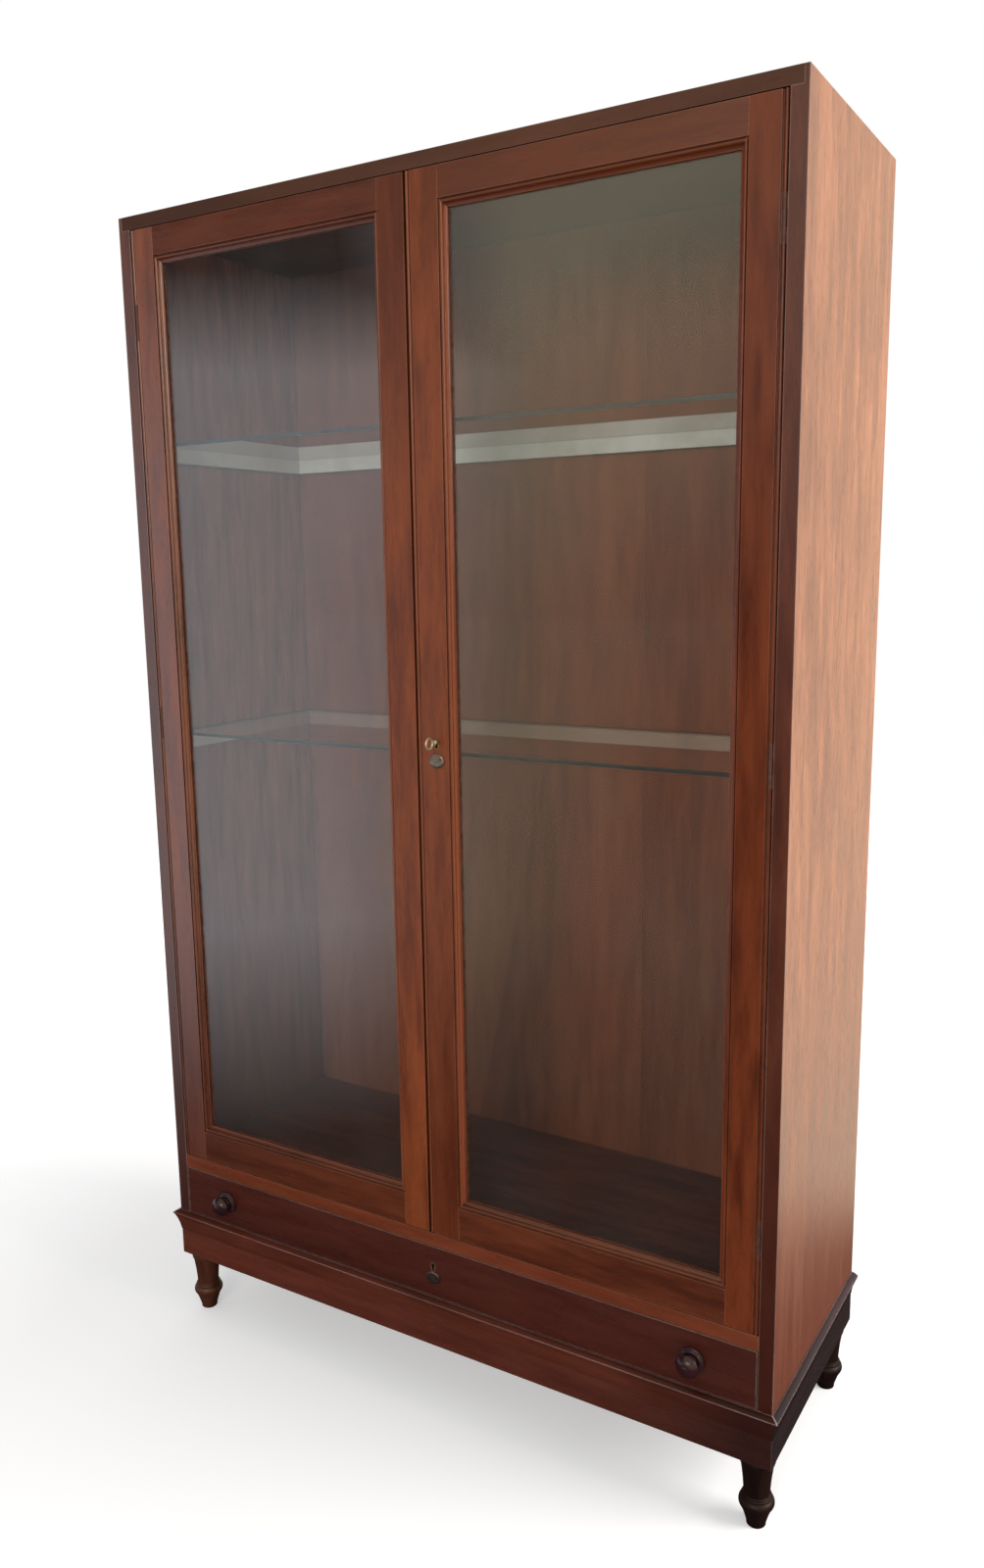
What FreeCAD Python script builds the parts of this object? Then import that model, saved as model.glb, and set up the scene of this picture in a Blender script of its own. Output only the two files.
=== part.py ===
import FreeCAD, Part
import math
import os

Vector = FreeCAD.Vector

# Frame: X runs along the width, the doors face -Y, +Z is up and the feet stand on Z = 0.
# Pieces are modelled with the front face of the carcass at Y = 0 and moved to the middle on export.

# Overall sizes, in millimetres
cabinet_width = 1200.0
cabinet_depth = 434.0
cabinet_height = 2050.0
foot_height = 122.0
base_rail_height = 72.0
drawer_front_height = 94.0

# Carcass boards
side_thickness = 24.0
top_thickness = 22.0
bottom_board_thickness = 20.0
floor_thickness = 18.0
divider_height = 24.0
divider_depth = 60.0
housing_depth = 7.0
housing_stop = 8.0
top_lap = 7.0
back_thickness = 10.0
back_rebate = 10.0
back_board_count = 3
back_edge_play = 0.5
back_tongue = 5.0
back_tongue_thickness = 3.4
back_tongue_play = 0.6

# Gaps round the doors and the drawer
front_gap = 1.5
meeting_gap = 3.0
meeting_line_offset = -5.0

# Door frames
door_thickness = 22.0
hinge_stile_width = 63.0
pane_to_centre = 66.5
door_top_rail_width = 58.0
door_bottom_rail_width = 70.0
tenon_length = 28.0
tenon_thickness = 7.0
tenon_shoulder = 10.0
joint_play = 0.1

# Moulded inner edge of the door frames
sticking_width = 12.0
sticking_quirk = 1.2
sticking_quirk_depth = 3.2
sticking_bead_radius = 2.6
sticking_bead_drop = 0.6
sticking_lip_depth = 8.2
glass_rebate_width = 9.0
glass_rebate_depth = 11.5

# Bead on the door edges, in line with the hinge knuckles
edge_bead_radius = 3.0
edge_quirk = 2.0

# Panes and the beads that hold them
pane_thickness = 4.0
pane_play = 1.5
glazing_bead_depth = 5.6
glazing_bead_round = 3.0

# Butt hinges
hinge_count = 3
hinge_length = 60.0
hinge_inset = 150.0
hinge_leaf_thickness = 1.6
hinge_leaf_depth = 16.0
hinge_knuckle_count = 3
hinge_knuckle_play = 0.4
hinge_knuckle_clearance = 0.35
hinge_pin_radius = 1.5
hinge_pin_play = 0.03
hinge_web_front = 0.6
hinge_web_back = 0.8

# Cut lock, used on the right door and on the drawer
lock_backset = 35.0
lock_length = 50.0
lock_width = 60.0
lock_depth = 10.0
lock_wall = 1.5
lock_bolt_width = 20.0
lock_bolt_thickness = 6.0
lock_bolt_play = 0.4
lock_bolt_throw = 8.0
lock_bolt_head_inset = 0.2
lock_height = 1182.0
strike_length = 44.0
strike_width = 16.0
strike_thickness = 1.5
strike_play = 1.0

# Keyholes, their brass linings and the studs below them
keyhole_radius = 3.3
keyhole_slot_width = 4.4
keyhole_drop = 9.6
keyhole_liner_wall = 1.1
keyhole_liner_depth = 4.0
stud_drop = 30.0
drawer_stud_drop = 23.0
stud_length = 28.0
stud_height = 22.0
stud_rim = 1.2
stud_bevel = 2.4
stud_bevel_rise = 1.2
stud_pin_radius = 1.6
stud_pin_length = 9.0

# Door key
key_shank_radius = 2.4
key_bit_radius = 8.4
key_bit_width = 2.4
key_bit_end_play = 0.5
key_reach = 31.0
key_bow_length = 21.0
key_bow_height = 20.0
key_bow_wire = 3.2
key_bow_bevel = 0.9
key_collar_radius = 3.9
key_collar_length = 2.4
key_collar_start = 4.0

# Sliding bolts in the meeting edge of the left door
edge_bolt_width = 8.0
edge_bolt_length = 100.0
edge_bolt_throw = 10.0
edge_bolt_play = 0.4
edge_bolt_plate_width = 16.0
edge_bolt_plate_length = 112.0
edge_bolt_plate_thickness = 2.0
edge_bolt_tab = 5.0
edge_bolt_tab_length = 9.0
edge_bolt_tab_inset = 0.3
edge_bolt_slot_margin = 1.0
edge_bolt_end_inset = 0.5

# Glass shelves on pale wooden ledgers
upper_shelf_drop = 356.0
lower_shelf_rise = 819.0
shelf_thickness = 6.0
shelf_front_inset = 50.0
shelf_end_play = 1.0
ledger_height = 26.0
ledger_thickness = 12.0

# Stop strip for the doors under the top board
door_stop_height = 12.0
door_stop_depth = 12.0
door_stop_inset = 40.0
rest_play = 0.3

# Drawer
drawer_side_thickness = 12.0
drawer_side_height = 85.0
drawer_side_play = 1.0
drawer_rear_gap = 39.0
drawer_back_height = 70.0
drawer_back_thickness = 12.0
drawer_bottom_thickness = 6.0
drawer_bottom_lift = 8.0
drawer_groove_depth = 5.0
drawer_bottom_play = 0.3
dovetail_count = 3
dovetail_lap = 6.0
dovetail_flare = 4.0
dovetail_end_margin = 9.0
dovetail_gap_share = 0.42
kicker_width = 15.0
kicker_play = 1.0
drawer_stop_width = 40.0
drawer_stop_length = 18.0
drawer_stop_height = 6.0
drawer_stop_spread = 300.0

# Turned drawer knobs
knob_inset = 127.0
knob_reach = 33.0
knob_flange_radius = 20.0
knob_flange_step = 3.6
knob_flange_rings = 2
knob_flange_fall = 3.5
knob_neck_radius = 9.5
knob_neck_length = 4.5
knob_head_radius = 18.5
knob_head_back = 7.5
knob_rim_height = 3.5
knob_spigot_radius = 6.0
knob_spigot_play = 0.05

# Base frame and its planted moulding
base_rail_thickness = 20.0
corner_block_size = 42.0
corner_block_drop = 3.0
moulding_reach = 11.0
moulding_height = 41.0
moulding_lip = 2.6
moulding_fall = 4.5
moulding_foot = 0.8
moulding_crown = 1.1
moulding_cove_share = 0.35

# Turned feet
foot_inset = 31.0
foot_collar_radius = 28.0
foot_collar_height = 13.0
foot_shoulder_radius = 26.0
foot_neck_radius = 19.5
foot_neck_height = 52.0
foot_ring_radius = 23.5
foot_ring_height = 4.0
foot_bulb_radius = 27.5
foot_bulb_height = 17.0
foot_bulb_slope_share = 0.34
foot_cup_radius = 24.0
foot_pad_radius = 15.0
foot_pad_height = 4.0
foot_spigot_radius = 10.0
foot_spigot_length = 40.0
foot_spigot_play = 0.05

# Length by which cutting tools pass the faces they cut
overrun = 2.0

# Heights and places that follow from the sizes above
half_width = cabinet_width / 2
inner_half = half_width - side_thickness
base_top = foot_height + base_rail_height
bottom_board_top = base_top + bottom_board_thickness
drawer_bottom_z = bottom_board_top + front_gap
drawer_top_z = drawer_bottom_z + drawer_front_height
divider_bottom = drawer_top_z + front_gap
floor_top = divider_bottom + divider_height
drawer_length = cabinet_depth - back_thickness - drawer_rear_gap
floor_bottom = floor_top - floor_thickness
door_bottom = floor_top + front_gap
top_underside = cabinet_height - top_thickness
upper_shelf_height = top_underside - upper_shelf_drop
lower_shelf_height = floor_top + lower_shelf_rise
door_top = top_underside - front_gap
back_front = cabinet_depth - back_thickness
door_edge = inner_half - front_gap
hinge_x = door_edge - edge_bead_radius
hinge_y = edge_bead_radius
left_meeting_edge = meeting_line_offset - meeting_gap / 2
right_meeting_edge = meeting_line_offset + meeting_gap / 2
door_key_x = right_meeting_edge + lock_backset
drawer_key_z = drawer_top_z - lock_backset
knob_z = (drawer_bottom_z + drawer_top_z) / 2
front_reach = max(knob_reach, key_reach)
middle_y = (cabinet_depth - front_reach) / 2


def block(x0, x1, y0, y1, z0, z1):
    """Box between two corners, in any order along X."""
    low, high = min(x0, x1), max(x0, x1)
    return Part.makeBox(high - low, y1 - y0, z1 - z0, Vector(low, y0, z0))


def prism(points, direction):
    """Straight solid over a closed polygon."""
    wire = Part.makePolygon(list(points) + [points[0]])
    return Part.Face(wire).extrude(direction)


def plan_prism(outline, z0, z1):
    """Solid over an outline given in plan, as X and Y."""
    return prism([Vector(x, y, z0) for x, y in outline], Vector(0, 0, z1 - z0))


def front_prism(outline, y0, y1):
    """Solid over an outline given in the front view, as X and Z."""
    return prism([Vector(x, y0, z) for x, z in outline], Vector(0, y1 - y0, 0))


def outline_face(steps, place):
    """Face inside an outline of lines and arcs.

    The first step is the start. A pair is a line to that point, and four numbers are an arc
    through the first point to the second. place turns the two numbers into a point in space.
    """
    edges = []
    start = steps[0]
    current = place(*start)
    for step in list(steps[1:]) + [start]:
        target = place(*step[-2:])
        if target.distanceToPoint(current) < 1e-7:
            continue
        if len(step) == 4:
            edges.append(Part.Arc(current, place(*step[:2]), target).toShape())
        else:
            edges.append(Part.makeLine(current, target))
        current = target
    return Part.Face(Part.Wire(edges))


def cap_step(radius, base, height):
    """Step over a round cap, from its rim at the base to its crown on the axis."""
    ball = (radius ** 2 + height ** 2) / (2 * height)
    half_angle = math.asin(radius / ball) / 2
    return (ball * math.sin(half_angle), base + height - ball * (1 - math.cos(half_angle)), 0, base + height)


def turned(steps, place, axis_point, axis):
    """Solid of revolution over a half outline of radius and height."""
    return outline_face(steps, place).revolve(axis_point, axis, 360)


def rod(radius, start, end):
    """Round bar between two points."""
    return Part.makeCylinder(radius, (end - start).Length, start, end - start)


def mirrored(shape):
    """Copy on the other side of the middle plane."""
    return shape.mirror(Vector(0, 0, 0), Vector(1, 0, 0))


def joined(shapes):
    """One solid out of touching pieces, without seams on its flat faces."""
    result = shapes[0]
    for shape in shapes[1:]:
        result = result.fuse(shape)
    return result.removeSplitter()


def keyhole(x, z, y0, y1, grow=0.0):
    """Round hole with a straight slot below it, from y0 to y1."""
    hole = rod(keyhole_radius + grow, Vector(x, y0, z), Vector(x, y1, z))
    half_slot = keyhole_slot_width / 2 + grow
    slot = block(x - half_slot, x + half_slot, y0, y1, z - keyhole_drop - grow, z)
    return joined([hole, slot])


def keyhole_liner(x, z):
    """Brass lining let into the wood, flush with its face."""
    outer = keyhole(x, z, 0, keyhole_liner_depth, keyhole_liner_wall)
    return outer.cut(keyhole(x, z, -overrun, keyhole_liner_depth + overrun))


def oval(length, height, place):
    """Closed elliptical wire about a centre; place turns the two offsets into a point."""
    centre = place(0, 0)
    ellipse = Part.Ellipse(place(length / 2, 0), place(0, height / 2), centre)
    return Part.Wire([ellipse.toShape()])


def key_stud(x, z):
    """Flat oval stud with a bevelled rim, on a pin, below a keyhole."""
    def rim(inset, y):
        return oval(stud_length - 2 * inset, stud_height - 2 * inset, lambda u, v: Vector(x + u, y, z + v))

    plate = Part.Face(rim(0, 0)).extrude(Vector(0, -stud_rim, 0))
    bevel = Part.makeLoft([rim(0, -stud_rim), rim(stud_bevel, -stud_rim - stud_bevel_rise)], True, True)
    pin = rod(stud_pin_radius, Vector(x, 0, z), Vector(x, stud_pin_length, z))
    return joined([plate, bevel, pin])


# Base: rails, corner blocks, moulding and feet


def foot(x, y):
    """Turned foot with a collar, a tapering shaft, a bulb and a spigot into its corner block."""
    def place(radius, z):
        return Vector(x + radius, y, z)

    collar_bottom = foot_height - foot_collar_height
    ring_bottom = foot_neck_height - foot_ring_height
    bulb_bottom = ring_bottom - foot_bulb_height
    slope = foot_bulb_height * foot_bulb_slope_share
    steps = [
        (0, 0), (foot_pad_radius, 0), (foot_pad_radius, foot_pad_height), (foot_cup_radius, bulb_bottom),
        (foot_bulb_radius, bulb_bottom + slope), (foot_bulb_radius, ring_bottom - slope),
        (foot_ring_radius, ring_bottom), (foot_ring_radius, foot_neck_height),
        (foot_neck_radius, foot_neck_height), (foot_shoulder_radius, collar_bottom),
        (foot_collar_radius, collar_bottom), (foot_collar_radius, foot_height),
        (foot_spigot_radius, foot_height), (foot_spigot_radius, foot_height + foot_spigot_length),
        (0, foot_height + foot_spigot_length)]
    return turned(steps, place, Vector(x, y, 0), Vector(0, 0, 1))


def foot_places():
    """Name and axis of each foot, seen from the front."""
    places = {}
    for end, y in (("front", foot_inset), ("rear", cabinet_depth - foot_inset)):
        for side, name in ((-1, "left"), (1, "right")):
            places[f"{end}_{name}_foot"] = (side * (half_width - foot_inset), y)
    return places


def base_frame():
    """Rails mitred at the front corners, with a block in each corner for the foot."""
    inner = half_width - base_rail_thickness
    back = cabinet_depth - base_rail_thickness
    front = plan_prism([(-half_width, 0), (half_width, 0), (inner, base_rail_thickness),
                        (-inner, base_rail_thickness)], foot_height, base_top)
    right = plan_prism([(half_width, 0), (half_width, cabinet_depth), (inner, cabinet_depth),
                        (inner, base_rail_thickness)], foot_height, base_top)
    rear = block(-inner, inner, back, cabinet_depth, foot_height, base_top)
    blocks = []
    for x, y in foot_places().values():
        side = math.copysign(1, x)
        from_front = y < cabinet_depth / 2
        y0 = base_rail_thickness if from_front else back - corner_block_size
        piece = block(side * (inner - corner_block_size), side * inner, y0, y0 + corner_block_size,
                      foot_height, base_top - corner_block_drop)
        bore = rod(foot_spigot_radius + foot_spigot_play, Vector(x, y, foot_height - overrun),
                   Vector(x, y, foot_height + foot_spigot_length + foot_spigot_play))
        blocks.append(piece.cut(bore))
    return {"base_front_rail": front, "base_right_rail": right, "base_left_rail": mirrored(right),
            "base_back_rail": rear, "base_corner_blocks": Part.makeCompound(blocks)}


def moulding_steps():
    """Section of the base moulding: reach from the face, and height."""
    top = bottom_board_top
    bottom = top - moulding_height
    lip_top = top - moulding_fall
    lip_bottom = lip_top - moulding_lip
    cove_reach = moulding_reach - moulding_crown
    return [(0, bottom), (moulding_foot, bottom),
            (moulding_foot + (cove_reach - moulding_foot) * moulding_cove_share, (bottom + lip_bottom) / 2,
             cove_reach, lip_bottom),
            (moulding_reach, lip_bottom), (moulding_reach, lip_top),
            (moulding_reach / 2, top - moulding_fall / 2 + moulding_crown, 0, top)]


def base_mouldings():
    """Coved moulding planted over the joint of base and carcass, mitred at the front corners."""
    low = bottom_board_top - moulding_height
    high = bottom_board_top
    outer = half_width + moulding_reach
    length = Vector(2 * outer, 0, 0)
    front = outline_face(moulding_steps(), lambda reach, z: Vector(-outer, -reach, z)).extrude(length)
    front = front.common(plan_prism([(-outer, -moulding_reach), (outer, -moulding_reach),
                                     (half_width, 0), (-half_width, 0)], low, high))
    run = Vector(0, cabinet_depth + moulding_reach, 0)
    right = outline_face(moulding_steps(),
                         lambda reach, z: Vector(half_width + reach, -moulding_reach, z)).extrude(run)
    right = right.common(plan_prism([(half_width, 0), (outer, -moulding_reach), (outer, cabinet_depth),
                                     (half_width, cabinet_depth)], low, high))
    return {"base_moulding_front": front, "base_moulding_right": right,
            "base_moulding_left": mirrored(right)}


# Carcass: sides, top, floor, divider, back and shelf ledgers


def hinge_heights():
    """Middle height of each hinge, evenly spread between the end ones."""
    low = door_bottom + hinge_inset
    high = door_top - hinge_inset
    return [low + (high - low) * index / (hinge_count - 1) for index in range(hinge_count)]


def side_panel(side):
    """Side board with housings for the boards, a rear rebate and recesses for the hinge leaves."""
    inner = side * inner_half
    housed = side * (inner_half + housing_depth)
    panel = block(side * half_width, inner, 0, cabinet_depth, base_top, cabinet_height)
    past = side * (inner_half - overrun)
    tools = [
        block(past, side * (half_width - top_lap), -overrun, cabinet_depth + overrun,
              top_underside, cabinet_height + overrun),
        block(past, housed, -overrun, cabinet_depth + overrun, base_top - overrun, bottom_board_top),
        block(past, housed, housing_stop, divider_depth, divider_bottom, floor_top),
        block(past, housed, housing_stop, cabinet_depth + overrun, floor_bottom, floor_top),
        block(past, side * (inner_half + back_rebate), back_front, cabinet_depth + overrun,
              base_top - overrun, cabinet_height + overrun)]
    for middle in hinge_heights():
        tools.append(block(past, side * (inner_half + hinge_leaf_thickness), hinge_y - hinge_web_front,
                           hinge_y + hinge_leaf_depth, middle - hinge_length / 2, middle + hinge_length / 2))
    for tool in tools:
        panel = panel.cut(tool)
    return panel


def edge_bolt_middle():
    """Plan position of the sliding bolts in the left door's meeting edge."""
    x = left_meeting_edge - edge_bolt_plate_thickness - edge_bolt_play - edge_bolt_width / 2
    return x, door_thickness / 2


def edge_bolt_socket(z0, z1):
    """Square hole that takes the end of a sliding bolt."""
    x, y = edge_bolt_middle()
    half = edge_bolt_width / 2 + edge_bolt_play
    return block(x - half, x + half, y - half, y + half, z0, z1)


def carcass_boards():
    """Top, bottom board, floor and the divider rail above the drawer."""
    reach = inner_half + housing_depth
    rebate = inner_half + back_rebate
    top = block(-half_width + top_lap, half_width - top_lap, 0, cabinet_depth,
                top_underside, cabinet_height)
    top = top.cut(block(-rebate, rebate, back_front, cabinet_depth + overrun,
                        top_underside - overrun, top_underside + back_rebate))
    socket_depth = front_gap + edge_bolt_throw
    top = top.cut(edge_bolt_socket(top_underside - overrun, top_underside + socket_depth))
    bottom = block(-reach, reach, 0, back_front, base_top, bottom_board_top)
    floor = block(-reach, reach, divider_depth, back_front, floor_bottom, floor_top)
    divider = joined([block(-inner_half, inner_half, 0, divider_depth, divider_bottom, floor_top),
                      block(-reach, reach, housing_stop, divider_depth, divider_bottom, floor_top)])
    divider = divider.cut(edge_bolt_socket(floor_top - socket_depth, floor_top + overrun))
    half_bolt = lock_bolt_width / 2 + lock_bolt_play
    middle = door_thickness - lock_depth / 2
    half_depth = lock_bolt_thickness / 2 + lock_bolt_play
    divider = divider.cut(block(-half_bolt, half_bolt, middle - half_depth, middle + half_depth,
                                divider_bottom - overrun, divider_bottom + lock_bolt_throw))
    return {"top_board": top, "bottom_board": bottom, "cabinet_floor": floor, "divider_rail": divider}


def back_boards():
    """Upright boards joined by tongues and grooves, let into the rear rebates."""
    left = -inner_half - back_rebate + back_edge_play
    board_width = -2 * left / back_board_count
    top = top_underside + back_rebate - back_edge_play
    middle = back_front + back_thickness / 2
    boards = []
    for index in range(back_board_count):
        x0 = left + index * board_width
        x1 = x0 + board_width
        board = block(x0, x1, back_front, cabinet_depth, base_top, top)
        if index < back_board_count - 1:
            half = back_tongue_thickness / 2
            tongue = block(x1, x1 + back_tongue, middle - half, middle + half, base_top, top)
            board = joined([board, tongue])
        if index > 0:
            half = back_tongue_thickness / 2 + joint_play
            board = board.cut(block(x0 - overrun, x0 + back_tongue + back_tongue_play, middle - half,
                                    middle + half, base_top - overrun, top + overrun))
        boards.append(board)
    return Part.makeCompound(boards)


def shelf_ledgers():
    """Ledgers along the back and both sides, under each glass shelf."""
    strips = []
    for height in (upper_shelf_height, lower_shelf_height):
        low = height - ledger_height
        right = block(inner_half - ledger_thickness, inner_half, shelf_front_inset,
                      back_front - ledger_thickness, low, height)
        back = block(-inner_half, inner_half, back_front - ledger_thickness, back_front, low, height)
        strips.extend([back, right, mirrored(right)])
    return Part.makeCompound(strips)


def glass_shelf(height):
    """Loose glass shelf lying on its ledgers."""
    half = inner_half - shelf_end_play
    return block(-half, half, shelf_front_inset, back_front - shelf_end_play,
                 height, height + shelf_thickness)


def door_stop():
    """Strip under the top board that both doors close against."""
    half = inner_half - door_stop_inset
    y0 = door_thickness + rest_play
    return block(-half, half, y0, y0 + door_stop_depth, top_underside - door_stop_height, top_underside)


# Hinges


def knuckle_spans(middle, moving):
    """Height spans of the knuckles that belong to the moving or to the fixed leaf."""
    pitch = hinge_length / hinge_knuckle_count
    bottom = middle - hinge_length / 2
    spans = []
    for index in range(hinge_knuckle_count):
        if (index % 2 == 1) == moving:
            z0 = bottom + index * pitch
            spans.append((z0 + hinge_knuckle_play / 2, z0 + pitch - hinge_knuckle_play / 2))
    return spans


def hinge_leaf(middle, moving):
    """Leaf of a butt hinge on the right-hand side, with its knuckles."""
    z0 = middle - hinge_length / 2
    z1 = middle + hinge_length / 2
    if moving:
        near = door_edge
        far = door_edge - hinge_leaf_thickness
        pieces = [block(near, far, hinge_y + hinge_web_back, hinge_y + hinge_leaf_depth, z0, z1)]
    else:
        near = inner_half
        far = inner_half + hinge_leaf_thickness
        pieces = [block(near, far, hinge_y - hinge_web_front, hinge_y + hinge_leaf_depth, z0, z1)]
    for low, high in knuckle_spans(middle, moving):
        knuckle = rod(edge_bead_radius, Vector(hinge_x, hinge_y, low), Vector(hinge_x, hinge_y, high))
        if moving:
            web = block(far, near, hinge_y, hinge_y + hinge_web_back, low, high)
        else:
            web = block(hinge_x, far, hinge_y - hinge_web_front, hinge_y + hinge_web_back, low, high)
        pieces.extend([knuckle, web])
    leaf = joined(pieces)
    if moving:
        radius = edge_bead_radius + hinge_knuckle_clearance
        for low, high in knuckle_spans(middle, False):
            leaf = leaf.cut(rod(radius, Vector(hinge_x, hinge_y, low - hinge_knuckle_play / 2),
                                Vector(hinge_x, hinge_y, high + hinge_knuckle_play / 2)))
    bore = rod(hinge_pin_radius + hinge_pin_play, Vector(hinge_x, hinge_y, z0 - overrun),
               Vector(hinge_x, hinge_y, z1 + overrun))
    return leaf.cut(bore)


def hinge_pin(middle):
    """Pin through all knuckles of one hinge."""
    half = hinge_length / 2
    return rod(hinge_pin_radius, Vector(hinge_x, hinge_y, middle - half),
               Vector(hinge_x, hinge_y, middle + half))


def hinge_clearance(middle):
    """Space that the door stile gives to one hinge, on the right-hand side."""
    radius = edge_bead_radius + hinge_knuckle_clearance
    half = hinge_length / 2
    z0, z1 = middle - half, middle + half
    round_part = rod(radius, Vector(hinge_x, hinge_y, z0), Vector(hinge_x, hinge_y, z1))
    front = block(hinge_x, door_edge + overrun, -overrun, hinge_y, z0, z1)
    edge = block(hinge_x, door_edge + overrun, hinge_y, hinge_y + hinge_web_back, z0, z1)
    leaf = block(door_edge - hinge_leaf_thickness, door_edge + overrun, hinge_y,
                 hinge_y + hinge_leaf_depth, z0, z1)
    return joined([round_part, front, edge, leaf])


def frame_hinges():
    """Fixed leaves of all hinges, and the pins, for both doors."""
    leaves = []
    pins = []
    for middle in hinge_heights():
        leaves.extend([hinge_leaf(middle, False), mirrored(hinge_leaf(middle, False))])
        pins.extend([hinge_pin(middle), mirrored(hinge_pin(middle))])
    return {"hinge_frame_leaves": Part.makeCompound(leaves), "hinge_pins": Part.makeCompound(pins)}


# Locks, bolts and key


def lock_shapes():
    """Case, cavity and bolt of the cut lock, with its edge facing up at the origin and the key below."""
    half = lock_width / 2
    y0 = door_thickness - lock_depth
    case = block(-half, half, y0, door_thickness, -lock_length, 0)
    cavity = block(-half + lock_wall, half - lock_wall, y0 + lock_wall, door_thickness - lock_wall,
                   -lock_length + lock_wall, -lock_wall)
    middle = y0 + lock_depth / 2
    half_bolt = lock_bolt_width / 2
    half_depth = lock_bolt_thickness / 2
    bolt_bottom = -lock_backset + key_bit_radius + key_bit_end_play
    bolt = block(-half_bolt, half_bolt, middle - half_depth, middle + half_depth, bolt_bottom,
                 -lock_bolt_head_inset)
    play = lock_bolt_play
    mouth = block(-half_bolt - play, half_bolt + play, middle - half_depth - play,
                  middle + half_depth + play, -lock_wall - overrun, overrun)
    return case.cut(cavity).cut(mouth), bolt


def stood_on_edge(shape):
    """Lock turned from the drawer's top edge to the right door's meeting edge."""
    turned_shape = shape.copy()
    turned_shape.rotate(Vector(0, 0, 0), Vector(0, 1, 0), -90)
    turned_shape.translate(Vector(right_meeting_edge, 0, lock_height))
    return turned_shape


def lock_recess():
    """Space for the lock case in the wood, with its edge facing up at the origin."""
    half = lock_width / 2 + joint_play
    return block(-half, half, door_thickness - lock_depth - joint_play, door_thickness + overrun,
                 -lock_length - joint_play, overrun)


def door_lock():
    """Case and bolt of the right door's lock."""
    case, bolt = lock_shapes()
    case = stood_on_edge(case)
    case = case.cut(keyhole(door_key_x, lock_height, door_thickness - lock_depth - overrun,
                            door_thickness - lock_depth + lock_wall + overrun))
    return case, stood_on_edge(bolt)


def drawer_lock():
    """Case and bolt of the drawer's lock."""
    case, bolt = lock_shapes()
    for shape in (case, bolt):
        shape.translate(Vector(0, 0, drawer_top_z))
    case = case.cut(keyhole(0, drawer_key_z, door_thickness - lock_depth - overrun,
                            door_thickness - lock_depth + lock_wall + overrun))
    return case, bolt


def door_key():
    """Key with a ring bow, a collar, a round shank and a flat bit."""
    x, z = door_key_x, lock_height
    tip = door_thickness - lock_wall - key_bit_end_play
    bow_start = key_reach - key_bow_length
    shank = rod(key_shank_radius, Vector(x, -bow_start - key_bow_wire / 2, z), Vector(x, tip, z))
    collar = rod(key_collar_radius, Vector(x, -key_collar_start - key_collar_length, z),
                 Vector(x, -key_collar_start, z))
    bit_front = door_thickness - lock_depth + lock_wall + key_bit_end_play
    bit = block(x - key_bit_width / 2, x + key_bit_width / 2, bit_front, tip, z - key_bit_radius, z)
    middle = -bow_start - key_bow_length / 2

    def ring_wire(grow, reach):
        size = 2 * (grow - key_bow_wire)
        return oval(key_bow_length + size, key_bow_height + size,
                    lambda u, v: Vector(x + reach, middle + u, z + v))

    half = key_bow_wire / 2
    flat = half - key_bow_bevel
    outer_edge = [(key_bow_wire - key_bow_bevel, -half), (key_bow_wire, -flat),
                  (key_bow_wire, flat), (key_bow_wire - key_bow_bevel, half)]
    bow = Part.makeLoft([ring_wire(*step) for step in outer_edge], True, True)
    bow = bow.cut(Part.Face(ring_wire(0, -half)).extrude(Vector(key_bow_wire, 0, 0)))
    return joined([bow, shank, collar, bit])


def strike_plate():
    """Plate let into the left door's edge, with the hole for the lock bolt."""
    middle = door_thickness - lock_depth / 2
    half_width_y = strike_width / 2
    half_length = strike_length / 2
    y1 = min(middle + half_width_y, door_thickness - strike_play)
    plate = block(left_meeting_edge - strike_thickness, left_meeting_edge, y1 - strike_width, y1,
                  lock_height - half_length, lock_height + half_length)
    return plate.cut(lock_bolt_socket())


def lock_bolt_socket():
    """Mortise in the left door's edge for the lock bolt."""
    half = lock_bolt_width / 2 + strike_play
    middle = door_thickness - lock_depth / 2
    half_depth = lock_bolt_thickness / 2 + lock_bolt_play
    return block(left_meeting_edge - lock_bolt_throw, left_meeting_edge + overrun, middle - half_depth,
                 middle + half_depth, lock_height - half, lock_height + half)


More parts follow.
